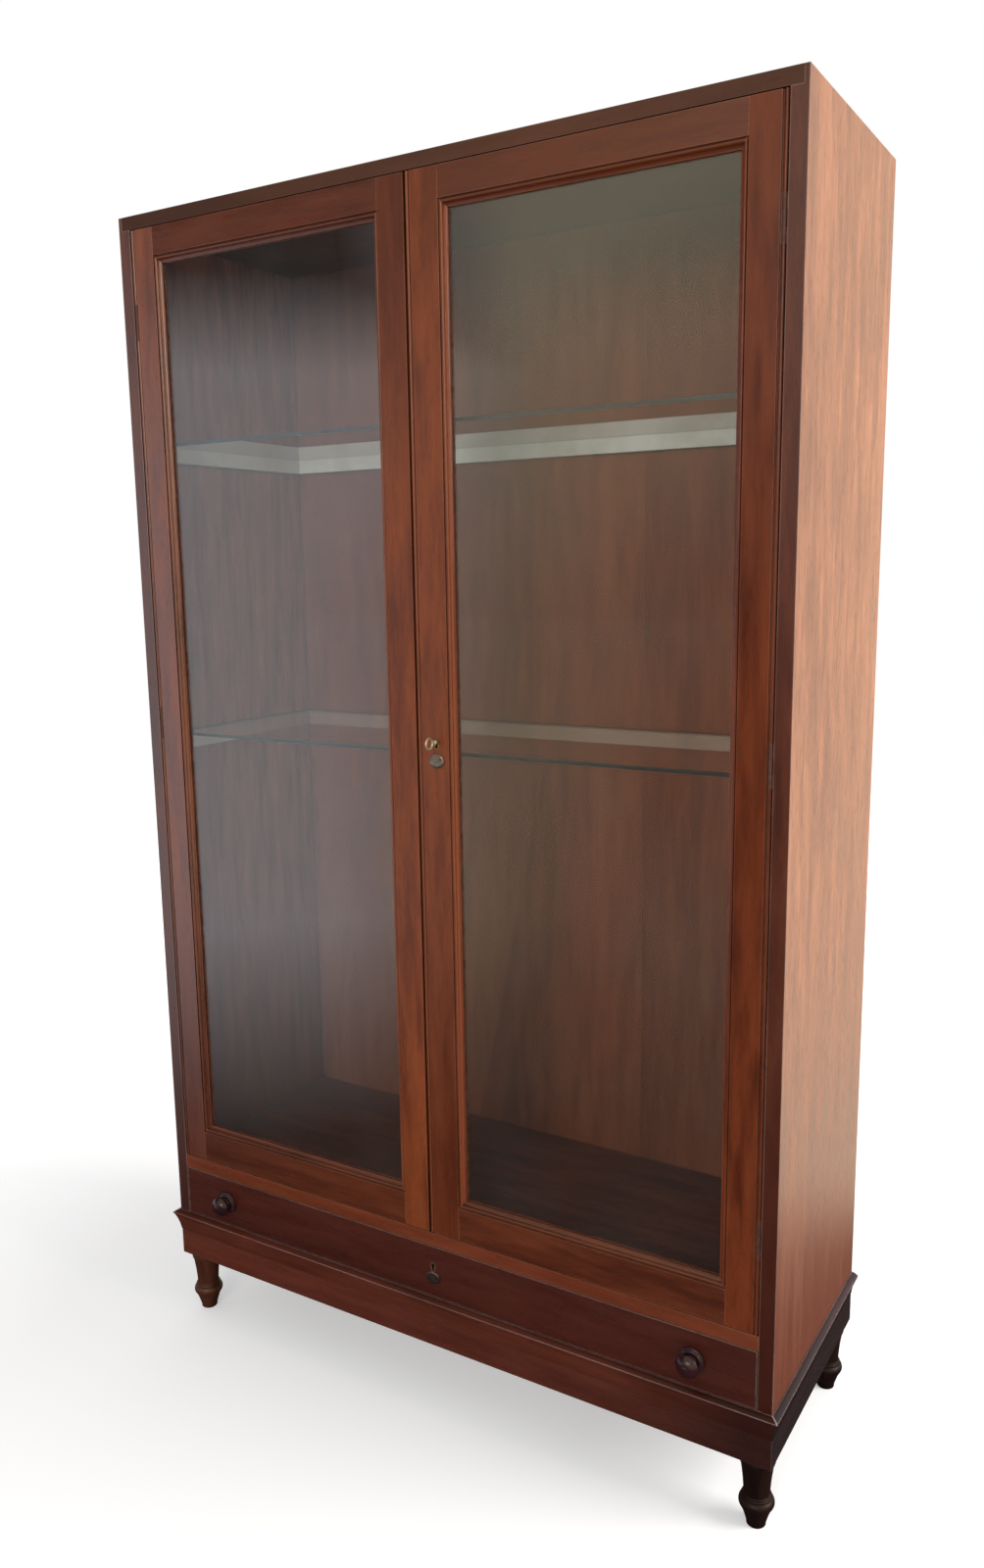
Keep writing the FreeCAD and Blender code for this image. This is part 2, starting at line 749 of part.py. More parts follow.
def edge_bolt_parts():
    """Bolt, face plate and groove of the upper sliding bolt, measured down from the door's top edge."""
    x, y = edge_bolt_middle()
    half = edge_bolt_width / 2
    top = door_top - edge_bolt_end_inset
    tab_middle = top - edge_bolt_length / 2
    half_tab = edge_bolt_tab / 2
    bolt = joined([
        block(x - half, x + half, y - half, y + half, top - edge_bolt_length, top),
        block(x, left_meeting_edge - edge_bolt_tab_inset, y - half_tab, y + half_tab,
              tab_middle - edge_bolt_tab_length / 2, tab_middle + edge_bolt_tab_length / 2)])
    half_plate = edge_bolt_plate_width / 2
    plate = block(left_meeting_edge - edge_bolt_plate_thickness, left_meeting_edge, y - half_plate,
                  y + half_plate, door_top - edge_bolt_plate_length, door_top)
    half_slot = half_tab + edge_bolt_play
    slot = block(left_meeting_edge - edge_bolt_plate_thickness - overrun, left_meeting_edge + overrun,
                 y - half_slot, y + half_slot,
                 tab_middle - edge_bolt_tab_length / 2 - edge_bolt_slot_margin,
                 tab_middle + edge_bolt_tab_length / 2 + edge_bolt_throw + edge_bolt_slot_margin)
    groove_half = half + edge_bolt_play
    groove = joined([
        block(x - groove_half, left_meeting_edge, y - groove_half, y + groove_half,
              top - edge_bolt_length - edge_bolt_play, door_top + overrun),
        block(left_meeting_edge - edge_bolt_plate_thickness, left_meeting_edge + overrun, y - half_plate,
              y + half_plate, door_top - edge_bolt_plate_length, door_top + overrun)])
    return bolt, plate.cut(slot), groove


def at_door_bottom(shape):
    """Same piece turned end for end at the bottom of the door."""
    flipped = shape.mirror(Vector(0, 0, 0), Vector(0, 0, 1))
    flipped.translate(Vector(0, 0, door_top + door_bottom))
    return flipped


# Doors


def moulded_steps(width, edge_beaded):
    """Section of a door frame member: distance from the sight edge, and depth from the face."""
    quirk_wall = sticking_width - sticking_quirk
    bead_middle = quirk_wall - sticking_bead_radius
    bead_depth = sticking_bead_drop + sticking_bead_radius
    bead_foot = bead_middle - sticking_bead_radius
    cove_fall = sticking_lip_depth - bead_depth
    cove_bend = math.cos(math.pi / 4)
    steps = [(0, glass_rebate_depth), (0, sticking_lip_depth),
             (bead_foot * cove_bend, sticking_lip_depth - cove_fall * (1 - cove_bend), bead_foot, bead_depth),
             (bead_middle, sticking_bead_drop, quirk_wall, bead_depth),
             (quirk_wall, sticking_quirk_depth), (sticking_width, sticking_quirk_depth), (sticking_width, 0)]
    if edge_beaded:
        foot_u = width - 2 * edge_bead_radius
        steps += [(foot_u - edge_quirk, 0), (foot_u - edge_quirk, edge_bead_radius),
                  (foot_u, edge_bead_radius),
                  (width - edge_bead_radius, 0, width, edge_bead_radius)]
    else:
        steps.append((width, 0))
    steps += [(width, door_thickness), (glass_rebate_width, door_thickness),
              (glass_rebate_width, glass_rebate_depth)]
    return steps


def mitre_corners(sight_left, sight_right):
    """Front-view wedges between the sight corners and the shoulders, one for each corner."""
    low = door_bottom + door_bottom_rail_width
    high = door_top - door_top_rail_width
    return [(sight_left, low, -1, -1), (sight_right, low, 1, -1),
            (sight_left, high, -1, 1), (sight_right, high, 1, 1)]


def rail_side_wedge(x, z, sign_x, sign_z):
    """Front-view outline of what a rail takes at a corner, from the mitre line to the door's end."""
    reach = sticking_width
    far = cabinet_height * sign_z
    return [(x + sign_x * reach, z + sign_z * reach), (x - sign_x * overrun, z - sign_z * overrun),
            (x - sign_x * overrun, z + far), (x + sign_x * reach, z + far)]


def stile_side_wedge(x, z, sign_x, sign_z):
    """Front-view outline of what a stile takes at a corner, from the mitre line outwards."""
    reach = sticking_width
    far = reach + overrun
    return [(x + sign_x * reach, z + sign_z * reach), (x - sign_x * overrun, z - sign_z * overrun),
            (x + sign_x * far, z - sign_z * overrun), (x + sign_x * far, z + sign_z * reach)]


def tenon_box(x, sign_x, z0, z1, play):
    """Tenon beyond the shoulder at x, or its mortise with some play."""
    middle = (sticking_quirk_depth + door_thickness) / 2
    half = tenon_thickness / 2 + play
    end = x + sign_x * (tenon_length + play)
    return block(x, end, middle - half, middle + half, z0 - play, z1 + play)


def tenon_spans():
    """Height span of the tenons of the bottom rail and of the top rail."""
    inset = sticking_width + tenon_shoulder
    bottom = (door_bottom + tenon_shoulder, door_bottom + door_bottom_rail_width - inset)
    top = (door_top - door_top_rail_width + inset, door_top - tenon_shoulder)
    return bottom, top


def door_stile(edge_x, sight_x, edge_beaded, corners):
    """Upright of a door, moulded on its inner edge, with mortises for the rails."""
    sign = math.copysign(1, edge_x - sight_x)
    width = abs(edge_x - sight_x)
    steps = moulded_steps(width, edge_beaded)
    face = outline_face(steps, lambda u, y: Vector(sight_x + sign * u, y, door_bottom))
    stile = face.extrude(Vector(0, 0, door_top - door_bottom))
    for x, z, sign_x, sign_z in corners:
        if x == sight_x:
            wedge = rail_side_wedge(x, z, sign_x, sign_z)
            stile = stile.cut(front_prism(wedge, -overrun, door_thickness + overrun))
    for z0, z1 in tenon_spans():
        stile = stile.cut(tenon_box(sight_x + sign * sticking_width, sign, z0, z1, joint_play))
    return stile


def door_rail(sight_z, sign_z, sight_left, sight_right, corners):
    """Cross member of a door with mitred sticking and a tenon at each end."""
    shoulder_left = sight_left - sticking_width
    shoulder_right = sight_right + sticking_width
    width = door_bottom_rail_width if sign_z < 0 else door_top_rail_width
    steps = moulded_steps(width, False)
    face = outline_face(steps, lambda u, y: Vector(shoulder_left, y, sight_z + sign_z * u))
    rail = face.extrude(Vector(shoulder_right - shoulder_left, 0, 0))
    for x, z, sign_x, corner_sign in corners:
        if z == sight_z:
            wedge = stile_side_wedge(x, z, sign_x, corner_sign)
            rail = rail.cut(front_prism(wedge, -overrun, door_thickness + overrun))
    spans = tenon_spans()
    z0, z1 = spans[0] if sign_z < 0 else spans[1]
    tenons = [tenon_box(shoulder_left, -1, z0, z1, 0), tenon_box(shoulder_right, 1, z0, z1, 0)]
    return joined([rail] + tenons)


def pane_and_beads(sight_left, sight_right):
    """Glass pane in the rebate and the four mitred beads behind it."""
    low = door_bottom + door_bottom_rail_width
    high = door_top - door_top_rail_width
    reach = glass_rebate_width
    grow = reach - pane_play
    y1 = glass_rebate_depth + pane_thickness
    pane = block(sight_left - grow, sight_right + grow, glass_rebate_depth, y1, low - grow, high + grow)
    y2 = y1 + glazing_bead_depth
    bend = glazing_bead_round * (1 - math.cos(math.pi / 4))
    steps = [(0, y1), (reach, y1), (reach, y2), (glazing_bead_round, y2),
             (bend, y2 - bend, 0, y2 - glazing_bead_round)]
    left, right = sight_left - reach, sight_right + reach
    bottom, top = low - reach, high + reach
    beads = []
    for z, sign in ((low, -1), (high, 1)):
        face = outline_face(steps, lambda u, y: Vector(left, y, z + sign * u))
        run = face.extrude(Vector(right - left, 0, 0))
        end = z + sign * reach
        inner = z - sign * overrun
        outline = [(left, end), (right, end), (sight_right - overrun, inner), (sight_left + overrun, inner)]
        beads.append(run.common(front_prism(outline, y1, y2)))
    for x, sign in ((sight_left, -1), (sight_right, 1)):
        face = outline_face(steps, lambda u, y: Vector(x + sign * u, y, bottom))
        run = face.extrude(Vector(0, 0, top - bottom))
        end = x + sign * reach
        inner = x - sign * overrun
        outline = [(end, bottom), (end, top), (inner, high - overrun), (inner, low + overrun)]
        beads.append(run.common(front_prism(outline, y1, y2)))
    return pane, Part.makeCompound(beads)


def door_pieces(side, name):
    """Stiles, rails, pane, beads and hinge leaves of one door."""
    hinge_sight = side * (door_edge - hinge_stile_width)
    meeting_sight = side * pane_to_centre
    meeting_edge = right_meeting_edge if side > 0 else left_meeting_edge
    sight_left, sight_right = sorted((hinge_sight, meeting_sight))
    corners = mitre_corners(sight_left, sight_right)
    hinge_stile = door_stile(side * door_edge, hinge_sight, True, corners)
    meeting_stile = door_stile(meeting_edge, meeting_sight, side > 0, corners)
    leaves = []
    for middle in hinge_heights():
        leaf, space = hinge_leaf(middle, True), hinge_clearance(middle)
        if side < 0:
            leaf, space = mirrored(leaf), mirrored(space)
        leaves.append(leaf)
        hinge_stile = hinge_stile.cut(space)
    pane, beads = pane_and_beads(sight_left, sight_right)
    low = door_bottom + door_bottom_rail_width
    high = door_top - door_top_rail_width
    return {
        f"{name}_hinge_stile": hinge_stile,
        f"{name}_meeting_stile": meeting_stile,
        f"{name}_bottom_rail": door_rail(low, -1, sight_left, sight_right, corners),
        f"{name}_top_rail": door_rail(high, 1, sight_left, sight_right, corners),
        f"{name}_glass": pane,
        f"{name}_glazing_beads": beads,
        f"{name}_hinge_leaves": Part.makeCompound(leaves)}


def left_door():
    """Left door, held by sliding bolts in its meeting edge."""
    nodes = door_pieces(-1, "left_door")
    upper_bolt, upper_plate, upper_groove = edge_bolt_parts()
    stile = nodes["left_door_meeting_stile"].cut(upper_groove).cut(at_door_bottom(upper_groove))
    strike = strike_plate()
    recess = strike.BoundBox
    stile = stile.cut(block(recess.XMin, recess.XMax + overrun, recess.YMin, recess.YMax,
                            recess.ZMin, recess.ZMax))
    nodes["left_door_meeting_stile"] = stile.cut(lock_bolt_socket())
    nodes["lock_strike_plate"] = strike
    nodes["edge_bolt_plates"] = Part.makeCompound([upper_plate, at_door_bottom(upper_plate)])
    nodes["upper_door_bolt"] = upper_bolt
    nodes["lower_door_bolt"] = at_door_bottom(upper_bolt)
    return nodes


def right_door():
    """Right door, with the lock, the keyhole and the key."""
    nodes = door_pieces(1, "right_door")
    case, bolt = door_lock()
    stile = nodes["right_door_meeting_stile"].cut(stood_on_edge(lock_recess()))
    stile = stile.cut(keyhole(door_key_x, lock_height, -overrun, door_thickness))
    stile = stile.cut(keyhole(door_key_x, lock_height, -overrun, keyhole_liner_depth, keyhole_liner_wall))
    stud_z = lock_height - stud_drop
    stile = stile.cut(rod(stud_pin_radius, Vector(door_key_x, -overrun, stud_z),
                          Vector(door_key_x, stud_pin_length, stud_z)))
    nodes["right_door_meeting_stile"] = stile
    nodes["door_lock_case"] = case
    nodes["door_lock_bolt"] = bolt
    nodes["door_keyhole_liner"] = keyhole_liner(door_key_x, lock_height)
    nodes["door_key_stud"] = key_stud(door_key_x, stud_z)
    nodes["door_key"] = door_key()
    return nodes


# Drawer


def drawer_outer_half():
    """Half width over the drawer's sides."""
    return inner_half - front_gap - drawer_side_play


def dovetail_tails(y_shoulder, length, direction, z0, z1, play):
    """Tails of one corner joint on the right-hand drawer side, wider at their ends."""
    x1 = drawer_outer_half()
    x0 = x1 - drawer_side_thickness
    margin = dovetail_end_margin
    pitch = (z1 - z0 - 2 * margin) / dovetail_count
    tails = []
    for index in range(dovetail_count):
        middle = z0 + margin + (index + 0.5) * pitch
        root = pitch * (1 - dovetail_gap_share) / 2 - dovetail_flare / 2 + play
        tip = root + dovetail_flare / 2
        y_tip = y_shoulder + direction * length
        outline = [(y_shoulder, middle - root), (y_shoulder, middle + root),
                   (y_tip, middle + tip), (y_tip, middle - tip)]
        points = [Vector(x0 - play, y, z) for y, z in outline]
        tails.append(prism(points, Vector(x1 - x0 + 2 * play, 0, 0)))
    return tails


def drawer_shell():
    """Dovetailed sides, front, back and bottom of the drawer."""
    x1 = drawer_outer_half()
    x0 = x1 - drawer_side_thickness
    low = bottom_board_top + rest_play
    high = low + drawer_side_height
    bottom_z0 = low + drawer_bottom_lift
    bottom_z1 = bottom_z0 + drawer_bottom_thickness
    back_z0 = bottom_z1
    back_z1 = back_z0 + drawer_back_height
    back_y0 = drawer_length - drawer_back_thickness
    tail_length = door_thickness - dovetail_lap
    groove_x = x0 + drawer_groove_depth

    front_tails = dovetail_tails(door_thickness, tail_length, -1, low, high, 0)
    back_tails = dovetail_tails(back_y0, drawer_back_thickness, 1, back_z0, min(back_z1, high), 0)
    side = joined([block(x0, x1, door_thickness, back_y0, low, high)] + front_tails + back_tails)
    side = side.cut(block(x0 - overrun, groove_x, 0, drawer_length + overrun, bottom_z0, bottom_z1))

    front_half = door_edge
    front = block(-front_half, front_half, 0, door_thickness, drawer_bottom_z, drawer_top_z)
    back = block(-x1, x1, back_y0, drawer_length, back_z0, back_z1)
    for tail in dovetail_tails(door_thickness, tail_length, -1, low, high, joint_play):
        front = front.cut(tail).cut(mirrored(tail))
    for tail in dovetail_tails(back_y0, drawer_back_thickness, 1, back_z0, min(back_z1, high), joint_play):
        back = back.cut(tail).cut(mirrored(tail))
    groove_y = door_thickness - drawer_groove_depth
    front = front.cut(block(-groove_x, groove_x, groove_y, door_thickness + overrun, bottom_z0, bottom_z1))
    bottom_half = groove_x - drawer_bottom_play
    bottom = block(-bottom_half, bottom_half, groove_y + drawer_bottom_play, drawer_length,
                   bottom_z0, bottom_z1)
    return front, side, back, bottom


def knob(x):
    """Turned knob with a stepped flange, a neck, a domed head and a spigot into the drawer front."""
    def place(radius, reach):
        return Vector(x + radius, -reach, knob_z)

    steps = [(0, -door_thickness), (knob_spigot_radius, -door_thickness), (knob_spigot_radius, 0)]
    radius = knob_flange_radius
    for index in range(knob_flange_rings):
        low = index * knob_flange_step
        high = low + knob_flange_step
        steps += [(radius, low), (radius, high)]
        radius -= knob_flange_fall
    flange_top = knob_flange_rings * knob_flange_step
    head_start = flange_top + knob_neck_length
    rim_start = head_start + knob_head_back
    rim_end = rim_start + knob_rim_height
    steps += [(knob_neck_radius, flange_top), (knob_neck_radius, head_start), (knob_head_radius, rim_start),
              (knob_head_radius, rim_end), cap_step(knob_head_radius, rim_end, knob_reach - rim_end)]
    return turned(steps, place, Vector(x, 0, knob_z), Vector(0, 1, 0))


def drawer():
    """Drawer with its lock, keyhole, stud and knobs."""
    front, side, back, bottom = drawer_shell()
    case, bolt = drawer_lock()
    recess = lock_recess()
    recess.translate(Vector(0, 0, drawer_top_z))
    front = front.cut(recess)
    front = front.cut(keyhole(0, drawer_key_z, -overrun, door_thickness))
    front = front.cut(keyhole(0, drawer_key_z, -overrun, keyhole_liner_depth, keyhole_liner_wall))
    stud_z = drawer_key_z - drawer_stud_drop
    front = front.cut(rod(stud_pin_radius, Vector(0, -overrun, stud_z), Vector(0, stud_pin_length, stud_z)))
    knob_x = half_width - knob_inset
    for x in (-knob_x, knob_x):
        front = front.cut(rod(knob_spigot_radius + knob_spigot_play, Vector(x, -overrun, knob_z),
                              Vector(x, door_thickness + overrun, knob_z)))
    return {
        "drawer_front": front, "drawer_right_side": side, "drawer_left_side": mirrored(side),
        "drawer_back": back, "drawer_bottom": bottom, "drawer_lock_case": case,
        "drawer_lock_bolt": bolt, "drawer_keyhole_liner": keyhole_liner(0, drawer_key_z),
        "drawer_key_stud": key_stud(0, stud_z),
        "drawer_knobs": Part.makeCompound([knob(-knob_x), knob(knob_x)])}


def drawer_guides():
    """Kickers that keep the open drawer level, and stops behind its front."""
    low = bottom_board_top + rest_play + drawer_side_height + kicker_play
    right = block(inner_half - kicker_width, inner_half, divider_depth, drawer_length, low, floor_bottom)
    y0 = door_thickness + rest_play
    half = drawer_stop_width / 2
    stops = []
    for x in (-drawer_stop_spread, drawer_stop_spread):
        stops.append(block(x - half, x + half, y0, y0 + drawer_stop_length, bottom_board_top,
                           bottom_board_top + drawer_stop_height))
    return {"drawer_kickers": Part.makeCompound([right, mirrored(right)]),
            "drawer_stops": Part.makeCompound(stops)}


def build():
    """All nodes of the cabinet, by name."""
    nodes = {"left_side_panel": side_panel(-1), "right_side_panel": side_panel(1)}
    nodes.update(carcass_boards())
    nodes["back_boards"] = back_boards()
    nodes["shelf_ledgers"] = shelf_ledgers()
    nodes["upper_glass_shelf"] = glass_shelf(upper_shelf_height)
    nodes["lower_glass_shelf"] = glass_shelf(lower_shelf_height)
    nodes["door_stop"] = door_stop()
    nodes.update(drawer_guides())
    nodes.update(base_frame())
    nodes.update(base_mouldings())
    for name, (x, y) in foot_places().items():
        nodes[name] = foot(x, y)
    nodes.update(frame_hinges())
    nodes.update(left_door())
    nodes.update(right_door())
    nodes.update(drawer())
    return nodes


def main():
    """Write one STEP file for each node."""
    os.makedirs("parts", exist_ok=True)
    for name, shape in build().items():
        placed = shape.copy()
        placed.translate(Vector(0, -middle_y, 0))
        placed.exportStep(os.path.join("parts", name + ".step"))


main()
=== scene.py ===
import math

import bmesh
import bpy
from mathutils import Matrix, Vector

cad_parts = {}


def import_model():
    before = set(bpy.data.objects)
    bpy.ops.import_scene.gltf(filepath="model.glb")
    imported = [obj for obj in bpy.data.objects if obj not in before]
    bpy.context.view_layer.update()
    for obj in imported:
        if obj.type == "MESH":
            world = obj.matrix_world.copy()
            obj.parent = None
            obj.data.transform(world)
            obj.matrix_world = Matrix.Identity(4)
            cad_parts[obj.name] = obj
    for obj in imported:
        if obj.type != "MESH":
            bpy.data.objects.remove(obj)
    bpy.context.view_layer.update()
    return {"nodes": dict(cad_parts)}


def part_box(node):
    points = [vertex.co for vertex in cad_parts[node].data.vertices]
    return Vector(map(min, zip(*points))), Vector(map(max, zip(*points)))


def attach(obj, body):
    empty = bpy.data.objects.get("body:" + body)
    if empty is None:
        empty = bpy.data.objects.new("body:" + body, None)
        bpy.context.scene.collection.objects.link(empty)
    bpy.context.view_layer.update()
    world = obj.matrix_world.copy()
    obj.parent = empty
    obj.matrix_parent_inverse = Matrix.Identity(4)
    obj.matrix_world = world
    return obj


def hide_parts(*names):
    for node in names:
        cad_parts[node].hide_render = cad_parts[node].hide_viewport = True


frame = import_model()
nodes = frame["nodes"]

# Directions, with the cabinet's front towards -Y
rightward = (1.0, 0.0, 0.0)
frontward = (0.0, -1.0, 0.0)
upward = (0.0, 0.0, 1.0)

# Camera: where the photographer stood in metres, how they looked in degrees, and the lens in millimetres
camera_place = (1.094, -1.7835, 1.450)
camera_heading = 31.27
camera_pitch = -10.0
camera_roll = -0.85
camera_lens = 28.04
camera_film = 36.0

# Lamps, in metres and watts
window_lamp = dict(place=(3.3, 0.5, 2.0), target=(0.6, 0.0, 1.1), width=1.8, height=1.8, power=120,
                   colour=(1.0, 0.98, 0.95))
front_lamp = dict(place=(0.9, -4.7, 2.6), target=(0.0, 0.0, 1.0), width=2.2, height=1.6, power=75,
                  colour=(1.0, 0.98, 0.96))

# Studio: light on matt surfaces, and what polished ones and glass mirror. A band is a range of the cosine
# between two directions
white = (1.0, 1.0, 1.0, 1.0)
black = (0.0, 0.0, 0.0, 1.0)
sky_level = 0.55
mirror_level = 1.3
dark_side = (-0.050, -0.935, -0.350)
dark_side_band = (0.75, 0.90)
dark_level = 0.14
ceiling_band = (0.15, 0.22)
ceiling_level = 0.05
warm_band = (-0.60, -0.48)
cool_mirror = (0.92, 1.02, 1.12, 1.0)
warm_mirror = (1.0, 0.94, 0.70, 1.0)

# Floor: how far from its centre, in metres, it fades to white, and how far out it shows in what mirrors it,
# in front and behind. The rear band is where front turns into behind. Glow and shades are shares of white
floor_reach = 30.0
floor_fade_near = 0.9
floor_fade_far = 3.2
floor_fade_end = 9.0
floor_near_glow = 0.35
floor_mirror_near = 1.25
rear_mirror_near = 1.0
rear_mirror_far = 1.25
rear_band = (-0.2, 0.3)
floor_shade = (0.8, 0.8, 0.8, 1.0)
mirrored_floor_shade = (0.05, 0.05, 0.05, 1.0)

# Grain features: width in metres across the grain, scale along it as a share of that across, and the range
# of the noise over which each one shows
tone_width = 0.11
tone_draw_share = 0.16
tone_band = (0.3, 0.7)
streak_width = 0.014
streak_draw_share = 0.09
streak_band = (0.45, 0.70)
mottle_width = 0.024
mottle_draw_share = 0.15
pale_mottle_band = (0.50, 0.72)
dark_mottle_band = (0.48, 0.30)
pore_width = 0.0012
pore_draw_share = 0.06
pore_band = (0.55, 0.70)
board_shift = (3.7, 5.1, 7.3)

# Strength of the grain features in the colour
middle_share = 0.65
streak_strength = 0.7
mottle_strength = 1.2
pore_strength = 0.6
# The dark of the pores, and of painted shade and dirt in hollows, as a share of the dark tone
dirt_and_shade_share = 0.35

# Polish: how much smoother and rougher it is than the gloss asked for, and how much rougher in the pores
polish_band = (0.2, 0.8)
smoother_polish = 0.05
rougher_polish = 0.08
pore_roughness = 0.15

# Rounded edges, arrises rubbed and given a painted highlight, and grooves with painted shade and dirt,
# in metres, and how many samples find them
edge_round = 0.0012
wood_edge_width = 0.0028
nosing_highlight_width = 0.0026
knob_edge_width = 0.0012
paint_wear_width = 0.002
metal_edge_width = 0.0009
groove_reach = 0.006
nosing_groove_reach = 0.010
edge_samples = 4

# Rubbing and painted highlight, and painted light, shade and dirt, as ranges of the value that each one
# follows, and the least share of the rubbing and highlight
rub_and_highlight_patch_band = (0.25, 0.6)
least_rub_and_highlight = 0.35
highlight_above_band = (0.0, 0.4)
hollow_band = (0.90, 0.45)
painted_facing_band = (0.6, 0.8)
lit_from_right_band = (0.15, 0.7)

# Wood tones as they show on a screen, from 0 to 255: dark, middle and light
# Door boards: one wood in lighter and darker copies, as painted light and shade on stiles and rails
meeting_stile_tones = ((76, 29, 11), (124, 57, 24), (149, 74, 34))
right_hinge_stile_tones = ((64, 22, 8), (104, 43, 16), (126, 57, 24))
top_rail_tones = ((73, 27, 8), (117, 52, 19), (140, 68, 28))
bottom_rail_tones = ((62, 24, 11), (98, 43, 19), (118, 56, 27))
divider_tones = ((84, 32, 14), (118, 52, 24), (140, 68, 34))
top_board_tones = ((54, 32, 24), (86, 52, 37), (106, 68, 50))
# Side boards: a lighter copy of the wood, as painted window light
side_board_lit_tones = ((98, 47, 31), (142, 85, 61), (169, 109, 82))
drawer_tones = ((48, 14, 9), (74, 28, 18), (92, 39, 27))
base_tones = ((38, 15, 13), (98, 43, 27), (120, 57, 38))
# Base sides: a darker copy of the base wood, as painted shade
base_sides_shaded_tones = ((20, 9, 10), (34, 15, 17), (46, 24, 25))
# Base moulding: a slightly lighter copy of the base wood, painted light against the shade of its cove
nosing_lit_tones = ((38, 15, 13), (98, 46, 30), (120, 60, 41))
inside_tones = ((74, 36, 21), (116, 64, 40), (146, 87, 56))
floor_board_tones = ((52, 25, 16), (84, 44, 29), (108, 60, 41))
knob_tones = ((26, 10, 13), (44, 18, 22), (60, 28, 32))
# Feet: lighter on the left and darker on the right, as painted light and shade
left_feet_lit_tones = ((40, 18, 11), (80, 40, 24), (104, 54, 34))
right_feet_shaded_tones = ((13, 5, 5), (28, 12, 9), (42, 19, 14))
# Painted window light, the colour of faces that look right
painted_right_light = (146, 74, 42)

# Paint, glass edge and metal colours as they show on a screen, two to each
ledger_paints = ((206, 204, 194), (176, 174, 160))
# The lower ledgers' paint, darker and yellower
lower_ledger_paints = ((186, 170, 150), (160, 144, 122))
rubbed_paint = (150, 140, 118)
ground_edges = ((92, 110, 96), (124, 140, 122))
brass_metals = ((176, 150, 98), (116, 94, 60))
hinge_metals = ((96, 54, 40), (70, 40, 30))
door_stud_metals = ((150, 134, 122), (84, 70, 64))
drawer_stud_metals = ((112, 92, 90), (62, 48, 48))
key_metals = ((206, 190, 160), (160, 142, 114))

# Tints of the glass, as shares of the light that it lets through
pane_tints = ((0.95, 0.97, 0.95, 1.0), (0.88, 0.92, 0.88, 1.0))
shelf_tint = (0.97, 0.99, 0.98, 1.0)

# Unevenness of glass, paint and metal, in waves to a metre, and the ranges over which it shows
haze_scale = 5.0
haze_band = (0.35, 0.7)
grind_scale = 90.0
brush_scale = 700.0
brush_draw_share = 0.08
stain_scale = 12.0
stain_band = (0.4, 0.75)
patina_scale = 160.0
patina_band = (0.35, 0.65)
scratch_scale = 1400.0
# Height in metres where the ledgers' paint turns from the lower, darker one to the pale one
ledger_height_band = (1.1, 1.3)

# Turned pieces: their fineness, and what counts as a point on the axis
turning_sides = 64
arc_points = 10
smooth_angle = math.radians(35)
axis_radius = 1e-6

# Foot, radius and height in metres from the ground up, as profile_points reads them
foot_pad = [(0, 0), (0.0140, 0), (0.0150, 0.0010), (0.0150, 0.0040)]
foot_cup = [(0.0184, 0.0160, 0.0230, 0.0290), (0.0236, 0.0296), (0.0236, 0.0306)]
foot_bulb = [(0.0240, 0.0314), (0.0275, 0.0395, 0.0238, 0.0474)]
foot_rings = [(0.0226, 0.0480), (0.0236, 0.0500, 0.0226, 0.0518),
              (0.0204, 0.0522), (0.0212, 0.0534, 0.0203, 0.0546)]
foot_shaft = [(0.0220, 0.0800, 0.0256, 0.1060), (0.0262, 0.1086)]
foot_collar = [(0.0272, 0.1092), (0.0280, 0.1132, 0.0272, 0.1170), (0.0263, 0.1176)]
foot_top_radius = 0.0263
foot_spigot_radius = 0.0100

# Knob, radius and height in metres out from the drawer front. The rim's radii are insets from the flange's
knob_spigot_radius = 0.0060
knob_rim = [(0.0006, 0), (0, 0.0018, 0.0008, 0.0034), (0.0032, 0.0037), (0.0034, 0.0054, 0.0044, 0.0070)]
knob_neck = [(0.0098, 0.0075), (0.0092, 0.0096, 0.0098, 0.0116)]
knob_head = [(0.0150, 0.0156, 0.0178, 0.0190), (0.0185, 0.0209, 0.0179, 0.0229),
             (0.0125, 0.0288, 0.0046, 0.0319)]
knob_button_radius = 0.0042
knob_button_height = 0.0007
knob_crown_radius = 0.0022
knob_crown_drop = 0.00019

# Key, in metres. The shank's outline is radius and height from the bow, and the bit starts behind the
# door's face
key_wire_radius = 0.0016
key_bow_half_depth = 0.0105
key_bow_half_height = 0.0100
key_shank_radius = 0.0024
key_shank_start = [(0, -0.0016), (0.0022, -0.0014), (0.0024, 0.0010)]
key_collar = [(0.0024, 0.0032), (0.0036, 0.0036), (0.0039, 0.0048, 0.0036, 0.0060), (0.0024, 0.0064)]
key_tip_bevel = 0.0006
key_bit_width = 0.0024
key_bit_drop = 0.0084
key_bit_start = 0.0140
stud_pin_length = 0.009


def display(colour):
    """Linear values of a colour given as it shows on a screen, by the usual screen curve."""
    def linear(value):
        share = value / 255
        return share / 12.92 if share <= 0.04045 else ((share + 0.055) / 1.055) ** 2.4

    return tuple(linear(value) for value in colour) + (1.0,)


